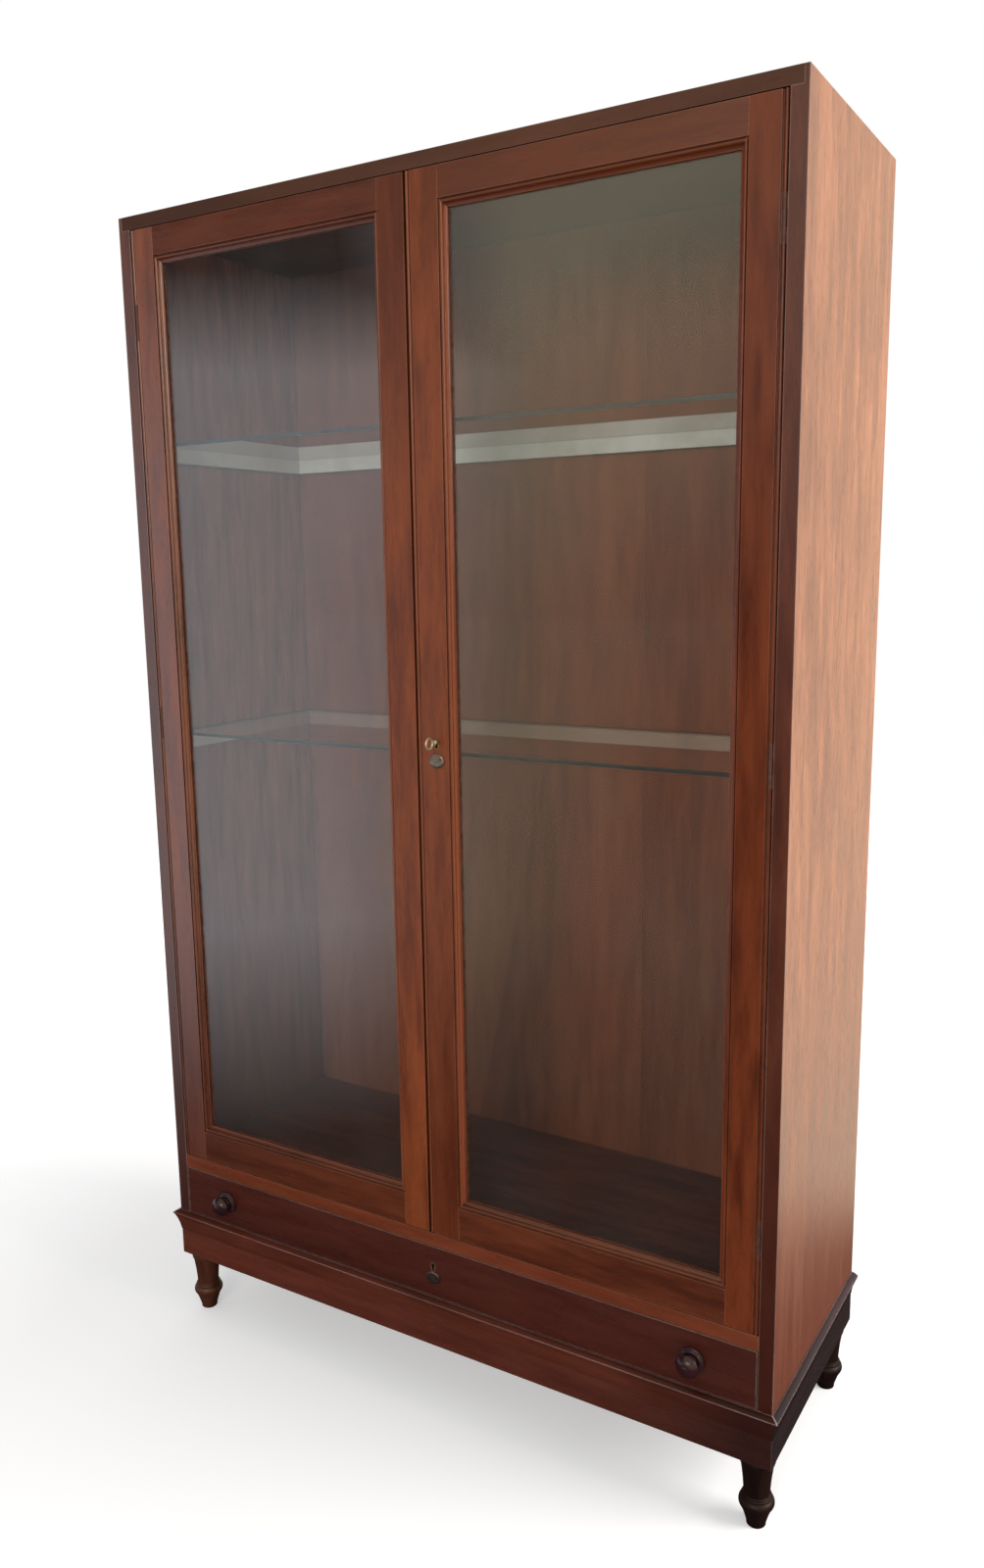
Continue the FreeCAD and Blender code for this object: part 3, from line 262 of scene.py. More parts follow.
class Graph:
    """Node tree of one material or world."""

    def __init__(self, tree, output):
        self.tree = tree
        self.tree.nodes.clear()
        self.output = self.add(output)

    def add(self, kind, links=None, **settings):
        """New node. Settings are its attributes, and links fill its inputs with values or sockets."""
        node = self.tree.nodes.new(kind)
        for name, value in settings.items():
            setattr(node, name, value)
        for name, value in (links or {}).items():
            self.fill(node.inputs[name], value)
        return node

    def fill(self, socket, value):
        """Put a value or another node's socket into an input."""
        if isinstance(value, bpy.types.NodeSocket):
            self.tree.links.new(value, socket)
        else:
            socket.default_value = value

    def surface(self, shader):
        """Send a shader's result to the output."""
        self.fill(self.output.inputs["Surface"], shader.outputs[0])

    def place(self):
        """Place on the piece, in metres."""
        return self.add("ShaderNodeTexCoord").outputs["Object"]

    def component(self, vector, axis):
        """One of a vector's three values."""
        return self.add("ShaderNodeSeparateXYZ", {0: vector}).outputs[axis]

    def math(self, operation, first, second=0.0, clamp=False):
        """Result of a sum or product of two values."""
        links = {0: first, 1: second}
        return self.add("ShaderNodeMath", links, operation=operation, use_clamp=clamp).outputs[0]

    def dot(self, first, second):
        """Dot product of two vectors."""
        links = {0: first, 1: second}
        return self.add("ShaderNodeVectorMath", links, operation="DOT_PRODUCT").outputs["Value"]

    def mix(self, factor, first, second, blend="MIX"):
        """Mix of two colours."""
        node = self.add("ShaderNodeMix", data_type="RGBA", blend_type=blend)
        self.fill(next(socket for socket in node.inputs if socket.name == "Factor"), factor)
        colours = [socket for socket in node.inputs if socket.type == "RGBA"]
        self.fill(colours[0], first)
        self.fill(colours[1], second)
        return next(socket for socket in node.outputs if socket.type == "RGBA")

    def noise(self, place, scale, detail=3.0, roughness=0.5, distortion=0.0):
        """Noise value from 0 to 1."""
        links = {"Vector": place, "Scale": scale, "Detail": detail, "Roughness": roughness,
                 "Distortion": distortion}
        return self.add("ShaderNodeTexNoise", links).outputs["Fac"]

    def ramp(self, value, low, high, start=0.0, end=1.0):
        """Value stretched from low..high to start..end."""
        links = {"Value": value, "From Min": low, "From Max": high, "To Min": start, "To Max": end}
        return self.add("ShaderNodeMapRange", links, clamp=True).outputs["Result"]

    def soft_normal(self, radius):
        """Normal that turns smoothly round the edges of a piece."""
        return self.add("ShaderNodeBevel", {"Radius": radius}, samples=edge_samples).outputs["Normal"]

    def sharp_edges(self, width):
        """Value that rises on the sharp edges of a piece."""
        soft = self.soft_normal(width)
        flat = self.add("ShaderNodeNewGeometry").outputs["Normal"]
        return self.math("SUBTRACT", 1.0, self.dot(soft, flat), clamp=True)


def new_material(name):
    """Empty node material and its graph."""
    material = bpy.data.materials.new(name)
    material.use_nodes = True
    return material, Graph(material.node_tree, "ShaderNodeOutputMaterial")


def board_place(graph, by_island):
    """Place on the piece, shifted from board to board so that no two share a figure."""
    place = graph.place()
    if by_island:
        shift = graph.add("ShaderNodeNewGeometry").outputs["Random Per Island"]
    else:
        shift = graph.add("ShaderNodeObjectInfo").outputs["Random"]
    spread = graph.add("ShaderNodeVectorMath", {0: board_shift, "Scale": shift}, operation="SCALE")
    return graph.add("ShaderNodeVectorMath", {0: place, 1: spread.outputs[0]}, operation="ADD").outputs[0]


def drawn_out(graph, place, along, share):
    """Place squeezed along the grain, which draws a texture out that way."""
    scale = [1.0, 1.0, 1.0]
    scale["XYZ".index(along)] = share
    return graph.add("ShaderNodeMapping", {"Vector": place, "Scale": scale}).outputs["Vector"]


def grain(graph, along, tones, dirt_and_shade, figure, wide, by_island):
    """Colour of the wood with its tones, drawn-out streaks, mottle and pores, and the last two as values."""
    dark, middle, light = tones
    place = board_place(graph, by_island)
    tone = graph.noise(drawn_out(graph, place, along, tone_draw_share), 1 / (tone_width * wide),
                       detail=3.0, roughness=0.5, distortion=0.4)
    streak = graph.noise(drawn_out(graph, place, along, streak_draw_share), 1 / (streak_width * wide),
                         detail=3.0, roughness=0.55, distortion=0.3)
    mottle = graph.noise(drawn_out(graph, place, along, mottle_draw_share), 1 / mottle_width,
                         detail=3.0, roughness=0.6)
    pores = graph.noise(drawn_out(graph, place, along, pore_draw_share), 1 / pore_width,
                        detail=1.0, roughness=0.5)
    pore_mask = graph.ramp(pores, *pore_band)

    colour = graph.mix(graph.ramp(tone, *tone_band), dark, light)
    colour = graph.mix(middle_share, colour, middle)
    colour = graph.mix(graph.ramp(streak, *streak_band, end=streak_strength * figure), colour, dark)
    colour = graph.mix(graph.ramp(mottle, *pale_mottle_band, end=mottle_strength * figure), colour, light)
    colour = graph.mix(graph.ramp(mottle, *dark_mottle_band, end=mottle_strength * figure), colour, dark)
    colour = graph.mix(graph.math("MULTIPLY", pore_mask, pore_strength * figure), colour, dirt_and_shade)
    return colour, mottle, pore_mask


def painted_light_and_dirt(graph, colour, dark, dirt_and_shade, painted_shade, painted_facing_light, lit_from_right, grooves, reach):
    """Colour with painted shade along an axis, painted light and shade by facing, painted window light on the
    right side, and painted shade and dirt in grooves.
    """
    # Painted shade: darker along one axis, full at one place and none at another
    if painted_shade:
        spot = graph.component(graph.place(), painted_shade["axis"])
        share = graph.ramp(spot, painted_shade["full"], painted_shade["none"], start=painted_shade["share"], end=0.0)
        colour = graph.mix(share, colour, dark)
    facing = graph.add("ShaderNodeTexCoord").outputs["Normal"]
    # Painted light and shade: faces that look one way take a tint that lightens or darkens them
    if painted_facing_light:
        side = graph.ramp(graph.dot(facing, painted_facing_light["side"]), *painted_facing_band)
        colour = graph.mix(side, colour, painted_facing_light["tint"], blend="MULTIPLY")
    # Painted window light on faces that look right
    if lit_from_right:
        side = graph.ramp(graph.dot(facing, rightward), *lit_from_right_band)
        colour = graph.mix(side, colour, display(lit_from_right))
    # Painted shade and dirt: hollows that ambient occlusion finds turn dark
    if grooves:
        open_share = graph.add("ShaderNodeAmbientOcclusion", {"Distance": reach}, samples=edge_samples)
        hollow = graph.ramp(open_share.outputs["AO"], *hollow_band, end=grooves)
        colour = graph.mix(hollow, colour, dirt_and_shade)
    return colour


def rub_and_highlight_edges(graph, mottle, edge_strength, width, above):
    """Value of rubbing and painted highlight on the arrises, patchy with the mottle, and with above, only a
    painted highlight on those that look up.
    """
    rub_and_highlight_edge = graph.math("MULTIPLY", graph.sharp_edges(width), edge_strength, clamp=True)
    patches = graph.ramp(mottle, *rub_and_highlight_patch_band, start=least_rub_and_highlight)
    rub_and_highlight_edge = graph.math("MULTIPLY", rub_and_highlight_edge, patches)
    # Painted highlight only on arrises that look up
    if above:
        looks_up = graph.ramp(graph.dot(graph.soft_normal(width), upward), *highlight_above_band)
        rub_and_highlight_edge = graph.math("MULTIPLY", rub_and_highlight_edge, looks_up)
    return rub_and_highlight_edge


def wood(name, along, tones, figure=0.45, wide=1.0, by_island=False, gloss=0.26, shine=0.5, coat=0.0,
         rub_and_highlight=None, edge_strength=1.6, rub_and_highlight_width=wood_edge_width, highlight_above=False, painted_shade=None, painted_facing_light=None,
         lit_from_right=None, grooves=0.85, reach=groove_reach):
    """Polished mahogany with its grain along one axis.

    Figure is the strength of the grain, and wide broadens its tones and streaks. Gloss is the roughness of
    the polish, and shine and coat are its mirroring. The arrises take a colour of rubbing and painted
    highlight, with a strength and a width of its own, and can keep it to those that look up, where it is
    only a painted highlight. The painted shade is a dark that is full at one place on an axis and ends at
    another. The facing tint is painted light and shade on faces that look one way, and what faces right
    takes a colour of painted window light. Grooves is the strength of painted shade and dirt in hollows,
    and reach is how wide they may be.
    """
    material, graph = new_material(name)
    dark, middle, light = map(display, tones)
    # One dark for the pores and for painted shade and dirt in hollows
    dirt_and_shade = tuple(part * dirt_and_shade_share for part in dark[:3]) + (1.0,)
    colour, mottle, pore_mask = grain(graph, along, (dark, middle, light), dirt_and_shade, figure, wide, by_island)
    colour = painted_light_and_dirt(graph, colour, dark, dirt_and_shade, painted_shade, painted_facing_light, lit_from_right, grooves, reach)
    rub_and_highlight_edge = rub_and_highlight_edges(graph, mottle, edge_strength, rub_and_highlight_width, highlight_above)
    # Arrises lighter by rubbing and painted highlight
    colour = graph.mix(rub_and_highlight_edge, colour, display(rub_and_highlight) if rub_and_highlight else light)

    polish = graph.ramp(mottle, *polish_band, start=gloss - smoother_polish, end=gloss + rougher_polish)
    roughness = graph.math("ADD", polish, graph.math("MULTIPLY", pore_mask, pore_roughness))
    filled = graph.math("SUBTRACT", 1.0, pore_mask)
    bump = graph.add("ShaderNodeBump", {
        "Strength": 0.2, "Distance": 0.0001, "Height": filled, "Normal": graph.soft_normal(edge_round)})
    graph.surface(graph.add("ShaderNodeBsdfPrincipled", {
        "Base Color": colour, "Roughness": roughness, "Normal": bump.outputs["Normal"],
        "Specular IOR Level": shine, "Coat Weight": coat, "Coat Roughness": 0.12, "IOR": 1.5}))
    return material


def let_light_through(graph, shader):
    """Glass that lamps and scattered light go straight through."""
    path = graph.add("ShaderNodeLightPath")
    clear = graph.add("ShaderNodeBsdfTransparent")
    straight = graph.math("MAXIMUM", path.outputs["Is Shadow Ray"], path.outputs["Is Diffuse Ray"])
    mixed = graph.add("ShaderNodeMixShader", {0: straight})
    graph.fill(mixed.inputs[1], shader.outputs["BSDF"])
    graph.fill(mixed.inputs[2], clear.outputs["BSDF"])
    graph.surface(mixed)


def pane_glass():
    """Old window glass with a faint uneven tint."""
    material, graph = new_material("pane_glass")
    haze = graph.noise(graph.place(), haze_scale, detail=4.0, roughness=0.6)
    colour = graph.mix(graph.ramp(haze, *haze_band), *pane_tints)
    clearness = graph.ramp(haze, *haze_band, start=0.997, end=0.990)
    shader = graph.add("ShaderNodeBsdfPrincipled", {
        "Base Color": colour, "Transmission Weight": clearness, "IOR": 1.48, "Roughness": 0.0})
    let_light_through(graph, shader)
    return material


def shelf_glass():
    """Clear shelf glass with green ground edges."""
    material, graph = new_material("shelf_glass")
    facing = graph.add("ShaderNodeNewGeometry").outputs["Normal"]
    level = graph.math("ABSOLUTE", graph.dot(facing, upward))
    edge = graph.math("SUBTRACT", 1.0, level, clamp=True)
    grind = graph.noise(graph.place(), grind_scale, detail=3.0)
    tint = graph.mix(grind, *map(display, ground_edges))
    colour = graph.mix(edge, shelf_tint, tint)
    shader = graph.add("ShaderNodeBsdfPrincipled", {
        "Base Color": colour, "Transmission Weight": 1.0, "IOR": 1.48,
        "Roughness": graph.math("MULTIPLY", edge, 0.3)})
    let_light_through(graph, shader)
    return material


def ledger_paint():
    """Pale paint on the shelf ledgers, darker and yellower on the lower ones, brushed along and rubbed at the
    edges.
    """
    material, graph = new_material("ledger_paint")
    place = graph.place()
    brush = graph.noise(drawn_out(graph, place, "X", brush_draw_share), brush_scale, detail=3.0)
    stain = graph.ramp(graph.noise(place, stain_scale, detail=4.0, roughness=0.6), *stain_band)
    paler = graph.mix(stain, *map(display, ledger_paints))
    lower_ledger_colour = graph.mix(stain, *map(display, lower_ledger_paints))
    high_up = graph.ramp(graph.component(place, "Z"), *ledger_height_band)
    colour = graph.mix(high_up, lower_ledger_colour, paler)
    edge_strength = graph.math("MULTIPLY", graph.sharp_edges(paint_wear_width), 0.9, clamp=True)
    colour = graph.mix(edge_strength, colour, display(rubbed_paint))
    bump = graph.add("ShaderNodeBump", {"Strength": 0.3, "Distance": 0.0002, "Height": brush})
    graph.surface(graph.add("ShaderNodeBsdfPrincipled", {
        "Base Color": colour, "Roughness": graph.ramp(brush, *polish_band, start=0.45, end=0.6),
        "Normal": bump.outputs["Normal"]}))
    return material


def metal(name, colours, roughness, edge_strength=1.2, bare=1.0):
    """Aged metal, dull in patches and brighter along its edges by rubbing and painted highlight. Bare is the
    share that isn't grimed over.
    """
    material, graph = new_material(name)
    bright, dull = map(display, colours)
    place = graph.place()
    patina = graph.noise(place, patina_scale, detail=4.0, roughness=0.6)
    scratches = graph.noise(place, scratch_scale, detail=2.0)
    colour = graph.mix(graph.ramp(patina, *patina_band), bright, dull)
    # Edges brighter by rubbing and painted highlight
    rub_and_highlight = graph.math("MULTIPLY", graph.sharp_edges(metal_edge_width), edge_strength, clamp=True)
    colour = graph.mix(rub_and_highlight, colour, bright)
    bump = graph.add("ShaderNodeBump", {"Strength": 0.25, "Distance": 0.00005, "Height": scratches})
    graph.surface(graph.add("ShaderNodeBsdfPrincipled", {
        "Base Color": colour, "Metallic": bare,
        "Roughness": graph.ramp(patina, *polish_band, start=roughness, end=roughness + 0.2),
        "Normal": bump.outputs["Normal"]}))
    return material


def dress(names, material):
    """Give CAD nodes one material."""
    for name in names:
        slots = nodes[name].data.materials
        if not slots:
            slots.append(material)
        for index in range(len(slots)):
            slots[index] = material


def profile_points(steps):
    """Points along a half outline of lines and arcs, as radius and height.

    A pair is a line to that point, and four numbers are an arc through the first point to the second.
    """
    points = [steps[0]]
    for step in steps[1:]:
        if len(step) == 2:
            points.append(step)
            continue
        start, middle, end = Vector(points[-1]), Vector(step[:2]), Vector(step[2:])
        first, second = middle - start, end - start
        cross = 2 * (first.x * second.y - first.y * second.x)
        centre = start + Vector((second.y * first.length_squared - first.y * second.length_squared,
                                 first.x * second.length_squared - second.x * first.length_squared)) / cross
        radius = (start - centre).length
        begin = math.atan2(start.y - centre.y, start.x - centre.x)
        look_and_painted_light = math.atan2(end.y - centre.y, end.x - centre.x)
        sweep = (look_and_painted_light - begin) % math.tau
        if cross < 0:
            sweep -= math.tau
        for index in range(1, arc_points + 1):
            angle = begin + sweep * index / arc_points
            points.append((centre.x + radius * math.cos(angle), centre.y + radius * math.sin(angle)))
    return points


def inset(radius, steps):
    """Outline whose radii are given as insets from a larger radius."""
    return [tuple(value if index % 2 else radius - value for index, value in enumerate(step))
            for step in steps]


def sew(shape, rings):
    """Faces between rings of corners, each closed on itself. A ring of one corner is a point."""
    for low, high in zip(rings, rings[1:]):
        sides = max(len(low), len(high))
        for index in range(sides):
            following = (index + 1) % sides
            corners = [low[index % len(low)], low[following % len(low)],
                       high[following % len(high)], high[index % len(high)]]
            unique = list(dict.fromkeys(corners))
            if len(unique) > 2:
                shape.faces.new(unique)


def add_turned(shape, steps, matrix):
    """Turned solid about the local Z axis."""
    rings = []
    for radius, height in profile_points(steps):
        count = 1 if radius < axis_radius else turning_sides
        ring = []
        for index in range(count):
            angle = math.tau * index / turning_sides
            corner = Vector((radius * math.cos(angle), radius * math.sin(angle), height))
            ring.append(shape.verts.new(matrix @ corner))
        rings.append(ring)
    sew(shape, rings)


def add_ring(shape, centre, half_depth, half_height, wire):
    """Oval ring of round wire standing in the Y-Z plane."""
    rings = []
    for index in range(turning_sides):
        angle = math.tau * index / turning_sides
        middle = Vector((0, half_depth * math.cos(angle), half_height * math.sin(angle)))
        outward = Vector((0, math.cos(angle) / half_depth, math.sin(angle) / half_height)).normalized()
        ring = []
        for step in range(2 * arc_points):
            turn = math.tau * step / (2 * arc_points)
            offset = outward * math.cos(turn) + Vector(rightward) * math.sin(turn)
            ring.append(shape.verts.new(Vector(centre) + middle + offset * wire))
        rings.append(ring)
    sew(shape, rings + [rings[0]])


def piece(name, shape, material, body, node):
    """Object from a finished mesh, smooth over its rounded stretches, in the place of a CAD node."""
    bmesh.ops.recalc_face_normals(shape, faces=shape.faces)
    mesh = bpy.data.meshes.new(name)
    shape.to_mesh(mesh)
    shape.free()
    mesh.materials.append(material)
    mesh.polygons.foreach_set("use_smooth", [True] * len(mesh.polygons))
    mesh.set_sharp_from_angle(angle=smooth_angle)
    thing = bpy.data.objects.new(name, mesh)
    bpy.context.scene.collection.objects.link(thing)
    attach(thing, body)
    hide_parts(node)


def feet(materials):
    """Four turned feet: pad, cup, bulb, fine rings, tapering shaft and collar, with a spigot above."""
    for name in ("front_left_foot", "front_right_foot", "rear_left_foot", "rear_right_foot"):
        low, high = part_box(name)
        x, y = (low[0] + high[0]) / 2, (low[1] + high[1]) / 2
        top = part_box("base_front_rail")[0][2]
        spigot = [(foot_spigot_radius, top), (foot_spigot_radius, high[2]), (0, high[2])]
        collar = foot_collar + [(foot_top_radius, top)]
        steps = foot_pad + foot_cup + foot_bulb + foot_rings + foot_shaft + collar + spigot
        shape = bmesh.new()
        add_turned(shape, steps, Matrix.Translation((x, y, 0)))
        piece(name + "_turned", shape, materials[name.split("_")[1]], "cabinet", name)


def knobs(material):
    """Two drawer knobs: spigot, stepped flange, neck and a domed head with a small button."""
    low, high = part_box("drawer_knobs")
    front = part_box("drawer_front")[0][1]
    reach = front - low[1]
    tail = front - high[1]
    flange = (high[2] - low[2]) / 2
    z = (low[2] + high[2]) / 2
    spigot = [(0, tail), (knob_spigot_radius, tail), (knob_spigot_radius, 0)]
    button = [(knob_button_radius, reach - knob_button_height),
              (knob_crown_radius, reach - knob_crown_drop, 0, reach)]
    steps = spigot + inset(flange, knob_rim) + knob_neck + knob_head + button
    for side, x in (("left", low[0] + flange), ("right", high[0] - flange)):
        shape = bmesh.new()
        add_turned(shape, steps, Matrix.Translation((x, front, z)) @ Matrix.Rotation(math.pi / 2, 4, "X"))
        piece("drawer_knob_" + side, shape, material, "drawer", "drawer_knobs")


def key(material):
    """Door key: round-wire bow, turned shank with a collar, and a flat bit."""
    low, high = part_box("door_key")
    x = (low[0] + high[0]) / 2
    z = high[2] - key_bow_half_height
    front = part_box("door_key_stud")[1][1] - stud_pin_length
    middle = low[1] + key_bow_half_depth
    shape = bmesh.new()
    add_ring(shape, (x, middle, z), key_bow_half_depth - key_wire_radius,
             key_bow_half_height - key_wire_radius, key_wire_radius)

    start = middle + key_bow_half_depth
    length = high[1] - start
    tip = [(key_shank_radius, length - key_tip_bevel),
           (key_shank_radius - key_tip_bevel, length), (0, length)]
    inwards = Matrix.Translation((x, start, z)) @ Matrix.Rotation(-math.pi / 2, 4, "X")
    add_turned(shape, key_shank_start + key_collar + tip, inwards)

    depth = high[1] - front - key_bit_start
    for corner in bmesh.ops.create_cube(shape, size=1.0)["verts"]:
        corner.co = Vector((x + corner.co.x * key_bit_width, high[1] + (corner.co.y - 0.5) * depth,
                            z + (corner.co.z - 0.5) * key_bit_drop))
    piece("door_key_turned", shape, material, "door_key", "door_key")


def lamp(name, place, target, width, height, power, colour):
    """Rectangular lamp that shines towards a target."""
    light = bpy.data.lights.new(name, "AREA")
    light.shape = "RECTANGLE"
    light.size = width
    light.size_y = height
    light.energy = power
    light.color = colour
    thing = bpy.data.objects.new(name, light)
    direction = Vector(target) - Vector(place)
    thing.matrix_world = Matrix.Translation(place) @ direction.to_track_quat("-Z", "Y").to_matrix().to_4x4()
    bpy.context.scene.collection.objects.link(thing)


def lights():
    """Window-like lamp from the right and a weaker soft fill from the front."""
    lamp("window_light", **window_lamp)
    lamp("front_fill", **front_lamp)


def sight(graph):
    """Values of 1 where the ray sees a thing plainly or through glass, and where it sees it mirrored."""
    path = graph.add("ShaderNodeLightPath").outputs
    mirrored = graph.math("MINIMUM", path["Glossy Depth"], 1.0)
    scattered = graph.math("MINIMUM", path["Diffuse Depth"], 1.0)
    direct = graph.math("SUBTRACT", 1.0, graph.math("MAXIMUM", mirrored, scattered))
    through = graph.math("MULTIPLY", path["Is Transmission Ray"], direct)
    mirror_through = graph.math("MULTIPLY", path["Is Transmission Ray"], mirrored)
    return (graph.math("MAXIMUM", path["Is Camera Ray"], through),
            graph.math("MAXIMUM", path["Is Glossy Ray"], mirror_through))


def mirrored_room(graph, direction):
    """Level and tint that polished surfaces mirror.

    The room is dark in front. Far to the left it is cool with a dim ceiling, and elsewhere it is warm.
    """
    level = graph.ramp(graph.dot(direction, dark_side), *dark_side_band, start=mirror_level, end=dark_level)
    warm = graph.ramp(graph.dot(direction, rightward), *warm_band)
    ceiling = graph.ramp(graph.dot(direction, upward), *ceiling_band, start=1.0, end=ceiling_level)
    level = graph.math("MULTIPLY", level, graph.math("MAXIMUM", ceiling, warm))
    return level, graph.mix(warm, cool_mirror, warm_mirror)


def world():
    """White for the camera and through glass, soft light on matt surfaces, and the mirrored room."""
    world_data = bpy.data.worlds.new("studio")
    bpy.context.scene.world = world_data
    world_data.use_nodes = True
    graph = Graph(world_data.node_tree, "ShaderNodeOutputWorld")
    plain, mirrored = sight(graph)
    direction = graph.add("ShaderNodeTexCoord").outputs["Generated"]
    reflection, colour = mirrored_room(graph, direction)
    level = graph.ramp(mirrored, 0.0, 1.0, start=sky_level, end=reflection)
    level = graph.ramp(plain, 0.0, 1.0, start=level, end=1.0)
    tint = graph.mix(mirrored, white, colour)
    graph.surface(graph.add("ShaderNodeBackground", {"Color": tint, "Strength": level}))


def mirrored_floor(graph, place, distance):
    """Level and tint that polished surfaces mirror from the floor.

    It is dark near the cabinet, and the dark reaches less far behind it than in front.
    """
    outward = graph.add("ShaderNodeVectorMath", {0: place}, operation="NORMALIZE").outputs["Vector"]
    level, tint = mirrored_room(graph, outward)
    front_share = graph.ramp(distance, floor_mirror_near, floor_fade_far)
    rear_share = graph.ramp(distance, rear_mirror_near, rear_mirror_far)
    rear = graph.ramp(graph.component(place, "Y"), *rear_band)
    share = graph.ramp(rear, 0.0, 1.0, start=front_share, end=rear_share)
    return graph.math("MULTIPLY", share, level), tint


def floor_material():
    """Pale floor that keeps the shadow and fades to the white backdrop further out."""
    material, graph = new_material("studio_floor")
    plain, mirrored = sight(graph)
    place = graph.place()
    distance = graph.add("ShaderNodeVectorMath", {0: place}, operation="LENGTH").outputs["Value"]
    glow = graph.ramp(distance, floor_fade_near, floor_fade_far, start=floor_near_glow)
    reflection, cast = mirrored_floor(graph, place, distance)
    shown = graph.math("MULTIPLY", mirrored, reflection)
    strength = graph.math("ADD", graph.math("MULTIPLY", plain, glow), shown)
    tint = graph.mix(mirrored, white, cast)
    emission = graph.add("ShaderNodeEmission", {"Color": tint, "Strength": strength})
    shade = graph.mix(mirrored, floor_shade, mirrored_floor_shade)
    afar = graph.ramp(distance, floor_fade_far, floor_fade_end)
    diffuse = graph.add("ShaderNodeBsdfDiffuse", {"Color": graph.mix(afar, shade, black)})
    parts = {0: diffuse.outputs["BSDF"], 1: emission.outputs["Emission"]}
    graph.surface(graph.add("ShaderNodeAddShader", parts))
    return material


def floor():
    """Wide flat floor under the cabinet."""
    mesh = bpy.data.meshes.new("studio_floor")
    corners = [(x * floor_reach, y * floor_reach, 0) for x, y in ((-1, -1), (1, -1), (1, 1), (-1, 1))]
    mesh.from_pydata(corners, [], [(0, 1, 2, 3)])
    mesh.materials.append(floor_material())
    thing = bpy.data.objects.new("studio_floor", mesh)
    bpy.context.scene.collection.objects.link(thing)


def camera():
    """Camera at the photograph's place, with its lens and tilt."""
    lens = bpy.data.cameras.new("camera")
    lens.lens = camera_lens
    lens.sensor_width = camera_film
    thing = bpy.data.objects.new("camera", lens)
    turn = Matrix.Rotation(math.radians(camera_heading), 4, "Z")
    tilt = Matrix.Rotation(math.radians(90 + camera_pitch), 4, "X")
    roll = Matrix.Rotation(math.radians(camera_roll), 4, "Z")
    thing.matrix_world = Matrix.Translation(camera_place) @ turn @ tilt @ roll
    bpy.context.scene.collection.objects.link(thing)
    bpy.context.scene.camera = thing


def door_wood():
    """Door frames in lighter and darker copies of one wood as painted light and shade, each board with its
    own shine and most with a stretch of painted shade.
    """
    # Arrises rubbed and given a painted highlight, and painted shade and dirt in grooves
    look_and_painted_light = dict(figure=0.5, rub_and_highlight=(186, 118, 88), edge_strength=1.2, grooves=0.65)
    dress(["right_door_meeting_stile"], wood(
        "mahogany_upright", "Z", meeting_stile_tones, shine=0.33, lit_from_right=painted_right_light,
        painted_shade=dict(axis="Z", full=0.42, none=1.10, share=0.65), **look_and_painted_light))
    dress(["left_door_meeting_stile"], wood(
        "mahogany_left_upright", "Z", meeting_stile_tones, shine=0.33, lit_from_right=painted_right_light,
        painted_shade=dict(axis="Z", full=1.95, none=1.45, share=0.6), **look_and_painted_light))
    dress(["left_door_hinge_stile"], wood(
        "mahogany_far_upright", "Z", meeting_stile_tones, shine=0.75,
        painted_shade=dict(axis="Z", full=0.50, none=1.20, share=0.7), **look_and_painted_light))
    dress(["right_door_hinge_stile"], wood(
        "mahogany_plain_upright", "Z", right_hinge_stile_tones, shine=0.26, **look_and_painted_light))
    dress(["left_door_top_rail", "left_door_glazing_beads",
           "right_door_top_rail", "right_door_glazing_beads"], wood(
        "mahogany_across", "X", top_rail_tones, shine=0.38,
        painted_shade=dict(axis="Z", full=1.98, none=1.72, share=0.6), **look_and_painted_light))
    dress(["left_door_bottom_rail", "right_door_bottom_rail"], wood(
        "mahogany_bottom_rail", "X", bottom_rail_tones, shine=0.38, lit_from_right=painted_right_light,
        painted_shade=dict(axis="X", full=-0.55, none=0.10, share=0.5), **look_and_painted_light))


def carcass_wood():
    """Side boards lit by painted window light, top, divider rail and drawer front. The far side board is
    shinier.
    """
    # Side boards: painted shade on their front edges and towards the bottom, and arrises with a painted
    # highlight
    look_and_painted_light = dict(figure=0.6, gloss=0.36, coat=0.1, rub_and_highlight=(190, 160, 146), edge_strength=2.2, wide=3.0,
                  painted_facing_light=dict(side=frontward, tint=(0.37, 0.20, 0.11, 1.0)),
                  painted_shade=dict(axis="Z", full=0.17, none=1.05, share=0.95))
    dress(["right_side_panel"], wood("mahogany_side", "Z", side_board_lit_tones, shine=0.32, **look_and_painted_light))
    dress(["left_side_panel"], wood("mahogany_far_side", "Z", side_board_lit_tones, shine=0.70, **look_and_painted_light))
    # Top: painted shade towards the left
    dress(["top_board", "door_stop"], wood(
        "mahogany_top", "X", top_board_tones, figure=0.15, gloss=0.5, shine=0.15, rub_and_highlight=(110, 88, 76),
        painted_shade=dict(axis="X", full=-0.60, none=0.20, share=0.4)))
    dress(["divider_rail"], wood("mahogany_divider", "X", divider_tones, figure=0.3, rub_and_highlight=(170, 104, 74)))
    dress(["drawer_front"], wood(
        "mahogany_drawer", "X", drawer_tones, figure=0.3, rub_and_highlight=(180, 150, 140), edge_strength=2.6))


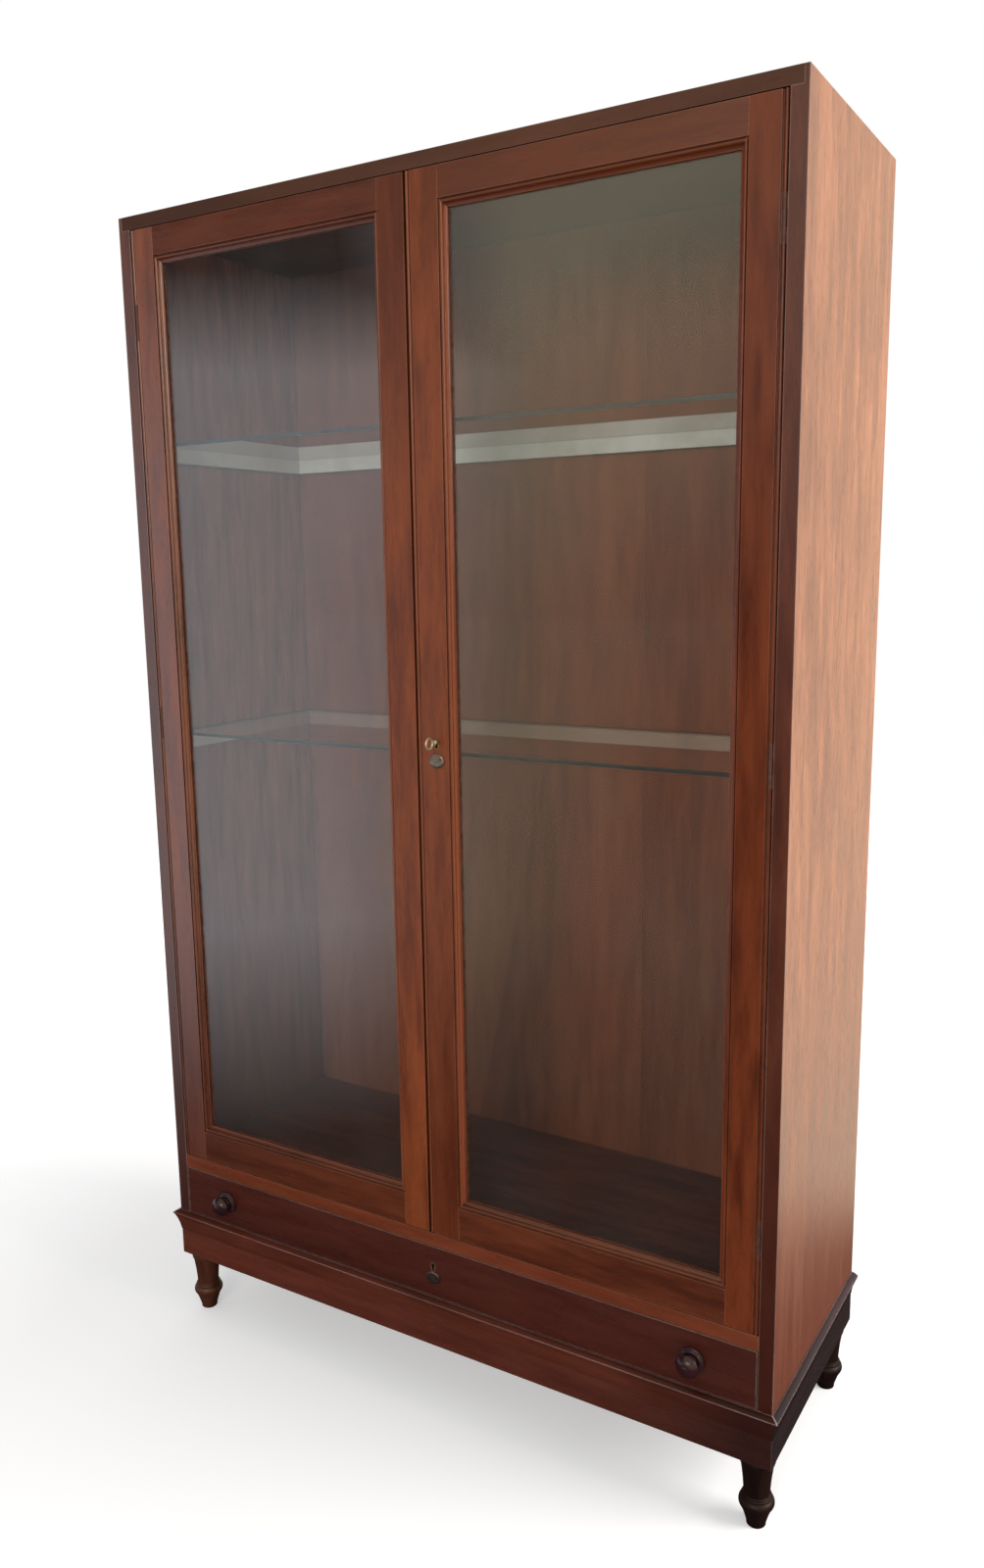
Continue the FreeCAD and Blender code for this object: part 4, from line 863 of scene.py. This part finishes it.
def base_wood():
    """Base rails and their moulding, with painted shade towards the right corner and along the sides."""
    corner = dict(axis="X", full=0.56, none=0.28, share=0.85)
    dress(["base_front_rail"], wood(
        "mahogany_base", "X", base_tones, figure=0.2, rub_and_highlight=(120, 84, 72), edge_strength=0.6, painted_shade=corner))
    dress(["base_left_rail", "base_right_rail"], wood(
        "mahogany_base_side", "Y", base_sides_shaded_tones, figure=0.3, rub_and_highlight=(110, 90, 92)))
    # Arrises that look up carry a painted highlight
    look_and_painted_light = dict(figure=0.3, gloss=0.3, shine=0.12, rub_and_highlight=(206, 178, 178), edge_strength=4.5,
                  rub_and_highlight_width=nosing_highlight_width, highlight_above=True, reach=nosing_groove_reach)
    # Painted shade on the top of the front moulding, by the way it faces
    dress(["base_moulding_front"], wood(
        "mahogany_nosing", "X", nosing_lit_tones, painted_shade=corner,
        painted_facing_light=dict(side=upward, tint=(0.72, 0.60, 0.58, 1.0)), **look_and_painted_light))
    # Painted grey sheen on the top of the side mouldings, by the way it faces, and painted shade towards the
    # front
    dress(["base_moulding_left", "base_moulding_right"], wood(
        "mahogany_nosing_side", "Y", base_sides_shaded_tones, painted_shade=dict(axis="Y", full=-0.22, none=0.10, share=1.0),
        painted_facing_light=dict(side=upward, tint=(2.9, 5.2, 5.5, 1.0)), **look_and_painted_light))


def inside_wood():
    """Unpolished boards inside: the back, and the darker boards of floor, drawer and base."""
    dress(["back_boards"], wood(
        "mahogany_inside", "Z", inside_tones, figure=0.25, gloss=0.55, shine=0.2, by_island=True, wide=2.4,
        grooves=0.6))
    dress(["cabinet_floor", "bottom_board", "drawer_left_side", "drawer_right_side", "drawer_back",
           "drawer_bottom", "drawer_kickers", "drawer_stops", "base_back_rail", "base_corner_blocks"], wood(
        "mahogany_floor", "X", floor_board_tones, gloss=0.5, shine=0.2, by_island=True, grooves=0))


def fittings():
    """Ledgers, glass, and the metal of hinges, locks, bolts and studs."""
    dress(["shelf_ledgers"], ledger_paint())
    dress(["left_door_glass", "right_door_glass"], pane_glass())
    dress(["upper_glass_shelf", "lower_glass_shelf"], shelf_glass())
    dress(["hinge_frame_leaves", "hinge_pins", "left_door_hinge_leaves", "right_door_hinge_leaves"],
          metal("tarnished_hinge", hinge_metals, 0.5, edge_strength=0.5, bare=0.1))
    dress(["lock_strike_plate", "edge_bolt_plates", "upper_door_bolt", "lower_door_bolt",
           "door_lock_case", "door_lock_bolt", "door_keyhole_liner", "drawer_lock_case",
           "drawer_lock_bolt", "drawer_keyhole_liner"], metal("brass_in_the_wood", brass_metals, 0.35))
    dress(["door_key_stud"], metal("dull_stud", door_stud_metals, 0.45, edge_strength=2.5))
    dress(["drawer_key_stud"], metal("dim_stud", drawer_stud_metals, 0.45, edge_strength=2.0))


def turned_pieces():
    """Feet, knobs and key in full curves."""
    # Painted light and shade: the left feet take lighter tones than the right ones
    left = wood("foot_wood_painted_lighter", "Z", left_feet_lit_tones, gloss=0.36, shine=0.3, rub_and_highlight=(90, 60, 48),
                edge_strength=0.8, grooves=0.5)
    right = wood("foot_wood", "Z", right_feet_shaded_tones, gloss=0.4, shine=0.15, rub_and_highlight=(80, 54, 44),
                 edge_strength=0.8, grooves=0.5)
    feet({"left": left, "right": right})
    knobs(wood("knob_wood", "Y", knob_tones, figure=0.2, gloss=0.2, shine=0.3, rub_and_highlight=(160, 136, 146), edge_strength=2.6,
               rub_and_highlight_width=knob_edge_width, grooves=0.3))
    key(metal("handled_key", key_metals, 0.45, bare=0.55))


def main():
    """Dress the frame, add the turned pieces and set up the studio."""
    door_wood()
    carcass_wood()
    base_wood()
    inside_wood()
    fittings()
    turned_pieces()
    lights()
    world()
    floor()
    camera()
    bpy.context.scene.view_settings.view_transform = "Standard"


main()
